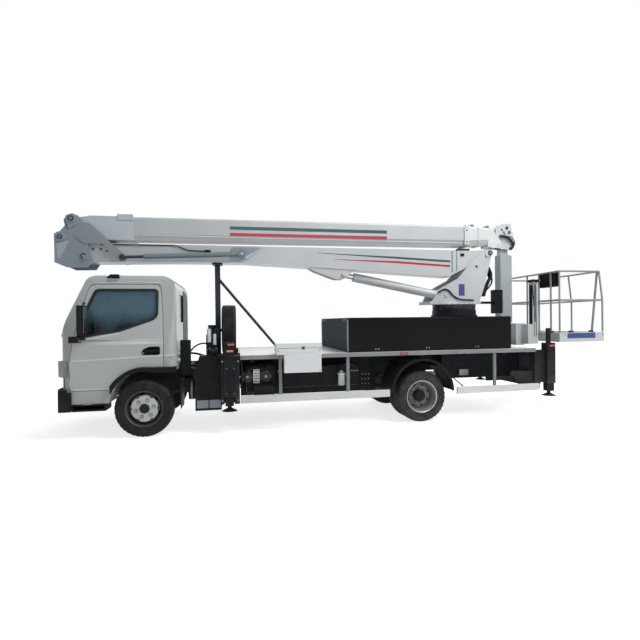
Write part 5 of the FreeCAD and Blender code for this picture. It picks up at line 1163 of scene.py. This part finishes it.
def control_face():
    """Keys, levers, stop button and side plate of the basket's control box."""
    low, high = box_of("basket_control_box")
    panel = Piece("bare_steel")
    for y in (low.y + 0.06 + i * 0.085 for i in range(4)):
        key = (low.x + 0.05, y, high.z - 0.002), (low.x + 0.045, y, high.z)
        panel.use("bare_steel").rod(*key, 0.010, sides=16)
        label_plate = y - 0.028, y + 0.028, low.z + 0.05, low.z + 0.17
        panel.use("grey_paint").box(high.x - 0.001, high.x + 0.0015, *label_plate)
        lever = (high.x, y, low.z + 0.205), (high.x + 0.012, y, low.z + 0.208)
        panel.use("black_paint").rod(*lever, 0.011, 0.009, sides=18)
    y, z = low.y + 0.02, high.z - 0.075
    panel.use("bare_steel").rod((high.x - 0.002, y, z), (high.x + 0.030, y, z), 0.016, 0.014)
    side_plate = low.y - 0.0022, low.y, low.z + 0.030, high.z - 0.030
    panel.use("dark_gap").box(low.x + 0.020, high.x - 0.020, *side_plate)
    y = high.y - 0.03
    panel.use("red_lens").rod((high.x, y, low.z + 0.205), (high.x + 0.014, y, low.z + 0.208), 0.016, sides=24)
    panel.make("basket_control_face", "basket_body", bevel=0.001)


def jib_details():
    """Thick hose loop and pins of the jib's head."""
    kit = Piece("hose_rubber")
    kit.tube(JIB_HOSE, 0.021, sides=12)
    for _, sign in SIDES:
        for x, z, r in JIB_PINS:
            y = skin("jib_head", sign, x, z)
            kit.use("dark_gap").boss(sign, x, z, y - 0.004, y + 0.003, r, sides=28)
            kit.use("bare_steel").boss(sign, x, z, y, y + 0.006, r * 0.55, sides=6)
    kit.make("jib_head_kit", "jib_head_body", bevel=0.001)


def bent(value):
    """Sine or cosine flattened towards a square wave."""
    return math.copysign(abs(value) ** CUSHION_POWER, value)


def cushion(piece, centre, size):
    """Padded block, its faces bulged and its edges rolled."""
    rows = []
    for k in range(1, CUSHION_RINGS):
        up = math.pi * (k / CUSHION_RINGS - 0.5)
        flat, rise = bent(math.cos(up)), bent(math.sin(up))
        turns = [math.tau * i / CUSHION_SIDES for i in range(CUSHION_SIDES)]
        shape = [Vector((flat * bent(math.cos(t)), flat * bent(math.sin(t)), rise)) for t in turns]
        rows.append([Vector(centre) + point * Vector(size) / 2 for point in shape])
    piece.loop(rows)


def seats():
    """Driver's seat and the bench for two beside it: cushions, backs, head rests, seams and belts."""
    soft = Piece("seat_fabric")
    for y, width in SEATS:
        soft.use("seat_fabric")
        cushion(soft, (-0.110, y, 1.010), (0.560, width, 0.140))
        cushion(soft, (0.185, y, 1.300), (0.120, width, 0.560))
        cushion(soft, (0.215, y, 1.640), (0.085, min(width, 0.270), 0.180))
        for sign in (-1, 1):
            post = y + sign * 0.050
            soft.use("black_plastic").rod((0.215, post, 1.50), (0.215, post, 1.60), 0.006, sides=12)
            edge = y + sign * (width / 2 - 0.055)
            seam = [(-0.36, edge, 1.062), (-0.20, edge, 1.076), (-0.02, edge, 1.076), (0.10, edge, 1.070)]
            soft.use("hose_rubber").tube(seam, 0.004, sides=6)
    soft.use("black_plastic")
    for y in (-0.60, -0.32):
        soft.box(-0.30, 0.12, y - 0.015, y + 0.015, 0.932, 0.950)
    made = soft.make("seats_looks", "chassis", bevel=0, smooth=60, replaces=["seats"])
    rounder = made.modifiers.new("Padding", "SUBSURF")
    rounder.levels = rounder.render_levels = 1


def steering_wheel():
    """Wheel with three spokes, hub and column, ahead of the driver's seat."""
    centre = Vector((-0.520, -0.430, 1.420))
    axis = Vector((0.62, 0.0, 0.78)).normalized()
    side = Vector((0, 1, 0))
    up = axis.cross(side)
    kit = Piece("black_plastic")
    kit.tube(ring(centre, side * 0.190, up * 0.190, 40, last=1), 0.014, steps=1)
    kit.rod(centre - axis * 0.035, centre + axis * 0.004, 0.052, 0.045, sides=28)
    for turn in (0.0, math.pi, -math.pi / 2):
        way = side * math.cos(turn) + up * math.sin(turn)
        kit.rod(centre - axis * 0.014 + way * 0.03, centre + way * 0.186, 0.012, 0.009, sides=10)
    kit.rod(centre - axis * 0.03, centre - axis * 0.20, 0.030, 0.036)
    kit.make("steering_wheel", "chassis", bevel=0, smooth=50)


# ------------------------------------------------------------------ the CAD model's own surfaces
BLACK_RAL, INSIDE = (24, 26, 30), (30, 31, 33)
WHITE_PAINT, CAB_PAINT, BLUE_GREY = (196, 200, 202), (184, 190, 190), (78, 87, 96)
ROOT_GREY, RAIL_GREY = (203, 212, 217), (140, 143, 145)
DOOR_LOOKS = door_finish("door_looks", CAB_PAINT, INSIDE, BLACK_RAL)
NODE_LOOKS = {
    "knuckle_cylinder_rod": MATERIALS["cast"],
    "knuckle_cylinder_barrel": MATERIALS["cylinder_grey"],
    "jib": MATERIALS["jib_paint"],
    "ground_control_box": MATERIALS["control_box_paint"],
    "boom_rest": MATERIALS["rest_paint"],
    "side_guards": two_tone("guard_looks", (224, 225, 226), (128, 133, 134), 0.45, 0.5, Z=(0.504, 2.0)),
    "door_left": DOOR_LOOKS,
    "door_right": DOOR_LOOKS,
    "basket": two_tone("basket_looks", (150, 153, 155), (214, 217, 218), 0.5, 0.42, Z=(0.0, 1.27)),
    "turret": two_tone("turret_looks", WHITE_PAINT, BLACK_RAL, 0.4, 0.5, Z=(0.0, 1.745)),
    "lockers": two_tone("locker_looks", BLUE_GREY, BLACK_RAL, 0.8, 0.5, specular=0.06, coat=0.0,
                        Y=(0.978, 2.0)),
    "lower_boom": two_tone("lower_boom_looks", WHITE_PAINT, BLACK_RAL, 0.4, 0.55, Y=(-2.0, -0.1605),
                           X=(-9.0, AXLE_X + 0.90)),
    "jib_head": two_tone("jib_head_looks", WHITE_PAINT, BLACK_RAL, 0.4, 0.5, Y=(-2.0, -0.079),
                         X=(AXLE_X + 5.689, 9.0), Z=(0.0, 2.96)),
    "cab_shell": two_tone("cab_shell_looks", CAB_PAINT, INSIDE, 0.34, 0.85, vary=0.03, Y=(0.0, 0.77),
                          Z=(0.93, 2.09), X=(AXLE_X - 0.60, AXLE_X + 0.37)),
    "deck": two_tone("deck_looks", (214, 217, 218), RAIL_GREY, 0.45, 0.5, Y=(1.043, 2.0)),
    "upper_boom_outer": two_tone("upper_boom_looks", WHITE_PAINT, ROOT_GREY, 0.4, 0.4,
                                 X=(-9.0, AXLE_X - 0.26)),
}
EDGED = {
    # node: edge radius
    "boom_knuckle": 0.004, "lower_boom": 0.004, "upper_boom_outer": 0.006, "upper_boom_mid": 0.004,
    "upper_boom_inner": 0.004, "jib": 0.003, "jib_head": 0.003, "turret": 0.005, "turret_pedestal": 0.004,
    "ground_control_box": 0.008, "outriggers": 0.004, "basket_arm": 0.004, "basket_control_box": 0.005,
    "deck": 0.003, "side_guards": 0.002, "boom_rest": 0.003, "front_bumper": 0.010, "subframe": 0.003,
    "locker_lid_left": 0.003, "locker_lid_right": 0.003, "lockers": 0.003, "air_intake": 0.005,
    "valve_block": 0.004, "side_tanks": 0.005, "headlamps": 0.008, "rear_lamp_bar": 0.003,
    "door_left": 0.008, "door_right": 0.008,
}
WELD_GAP = 0.00005


def paint_nodes():
    """Give every CAD node the finish of its material slot, or its own looks."""
    slots = {row["node"]: row["material_slot"] for row in frame["record"]["subparts"]}
    for name, node in frame["nodes"].items():
        node.data.materials.clear()
        node.data.materials.append(NODE_LOOKS.get(name) or MATERIALS[slots[name]])


def edge_nodes():
    """Round the CAD nodes' sharp edges by modifiers; their own vertices stay put."""
    for name, width in EDGED.items():
        node = frame["nodes"][name]
        weld = node.modifiers.new("Weld", "WELD")
        weld.merge_threshold = WELD_GAP
        edge_modifier(node, width, 40)


# ------------------------------------------------------------------ floor, light and camera
FLOOR_LIFT = 0.74
GROUND_LIGHT, GROUND_STRENGTH = (0.93, 0.96, 1.0, 1.0), 0.20
WHITE = (1.0, 1.0, 1.0, 1.0)
LAMPS = (
    # name, place, size, power, looks at
    ("key", (6.5, -3.5, 8.0), 5.0, 640.0, (2.5, 0.0, 1.5)),
    ("side", (3.0, -9.5, 4.0), 6.0, 70.0, (2.5, 0.0, 1.2)),
    ("back", (3.5, 6.5, 6.0), 6.0, 160.0, (2.5, 0.0, 1.5)),
)
CAMERA_PLACE = (1.169, -7.134, 1.491)
CAMERA_YAW, CAMERA_PITCH, CAMERA_ROLL = 11.18, -0.30, -0.67
CAMERA_LENS = 25.27
CAMERA_SHIFT = (-0.00484, 0.0056)


def make_floor():
    """Pale floor that keeps the shadow and shows white to the camera further out."""
    bm = bmesh.new()
    bmesh.ops.create_circle(bm, cap_ends=True, radius=60.0, segments=96)
    floor = placed("floor", mesh_of("floor", bm))
    floor.location.z = -0.002
    made = Shader("floor_white")
    pale = made.mix(made.cloud(0.7, 3.0, 0.0, 1.0), (0.80, 0.80, 0.80, 1.0), (0.82, 0.82, 0.82, 1.0))
    made.set("Base Color", pale)
    made.set("Roughness", 0.9)
    made.set("Specular IOR Level", 0.1)
    away = made.add("ShaderNodeVectorMath", Vector=made.place)
    away.operation = "LENGTH"
    lift = made.spread(away.outputs["Value"], FLOOR_LIFT, 1.0, 4.0, 6.5)
    made.set("Emission Color", WHITE)
    made.set("Emission Strength", made.math("MULTIPLY", made.seen(), lift))
    floor.data.materials.append(made.material)


def make_world():
    """White where it is looked at or mirrored, a plain sky-grey light everywhere else."""
    world = bpy.data.worlds.new("studio")
    world.use_nodes = True
    bpy.context.scene.world = world
    made = Nodes(world.node_tree)
    ground = made.tree.nodes["Background"]
    made.fill(ground, (GROUND_LIGHT, GROUND_STRENGTH))
    white = made.add("ShaderNodeBackground", Color=WHITE, Strength=1.0)
    both = made.fill(made.add("ShaderNodeMixShader"), (made.seen(), ground.outputs[0], white.outputs[0]))
    made.put(both, made.tree.nodes["World Output"].inputs["Surface"])


def make_lamps():
    """Large soft lamps above the truck, beside it and behind it."""
    for name, place, size, power, target in LAMPS:
        data = bpy.data.lights.new(name, "AREA")
        data.shape = "DISK"
        data.size = size
        data.energy = power
        lamp = placed(name, data)
        lamp.location = at(*place)
        lamp.rotation_euler = (at(*target) - at(*place)).to_track_quat("-Z", "Y").to_euler()


def make_camera():
    """The photograph's viewpoint, on the left at about eye height, ahead of the vehicle's middle."""
    yaw, pitch, roll = [math.radians(a) for a in (CAMERA_YAW, CAMERA_PITCH, CAMERA_ROLL)]
    ahead = Vector((math.sin(yaw) * math.cos(pitch), math.cos(yaw) * math.cos(pitch), math.sin(pitch)))
    level = Vector((math.cos(yaw), -math.sin(yaw), 0.0))
    upright = level.cross(ahead)
    right = level * math.cos(roll) + upright * math.sin(roll)
    up = upright * math.cos(roll) - level * math.sin(roll)
    data = bpy.data.cameras.new("camera")
    data.lens = CAMERA_LENS
    data.sensor_width = 36.0
    data.shift_x, data.shift_y = CAMERA_SHIFT
    camera = placed("camera", data)
    turned = Matrix((right, up, -ahead)).transposed().to_4x4()
    camera.matrix_world = Matrix.Translation(at(*CAMERA_PLACE)) @ turned
    bpy.context.scene.camera = camera


def build():
    """The CAD nodes' finishes, then every added piece, then the stage."""
    paint_nodes()
    edge_nodes()
    for side, sign in SIDES:
        front_wheel(side, sign)
        rear_wheels(side, sign)
        door_looks(side, sign)
        mirror_looks(side, sign)
    for details in (spare, cab_sides, cab_front, cab_grille, stripes, upper_boom_details, lower_boom_details,
                    knuckle_details, turret_details, deck_details, locker_details, jack_details,
                    housing_details, tank_details, cab_back, valve_details, battery_details,
                    control_details, basket_details, control_face, jib_details, seats,
                    steering_wheel, make_floor, make_world, make_lamps, make_camera):
        details()
    bpy.context.scene.view_settings.view_transform = "Standard"


build()
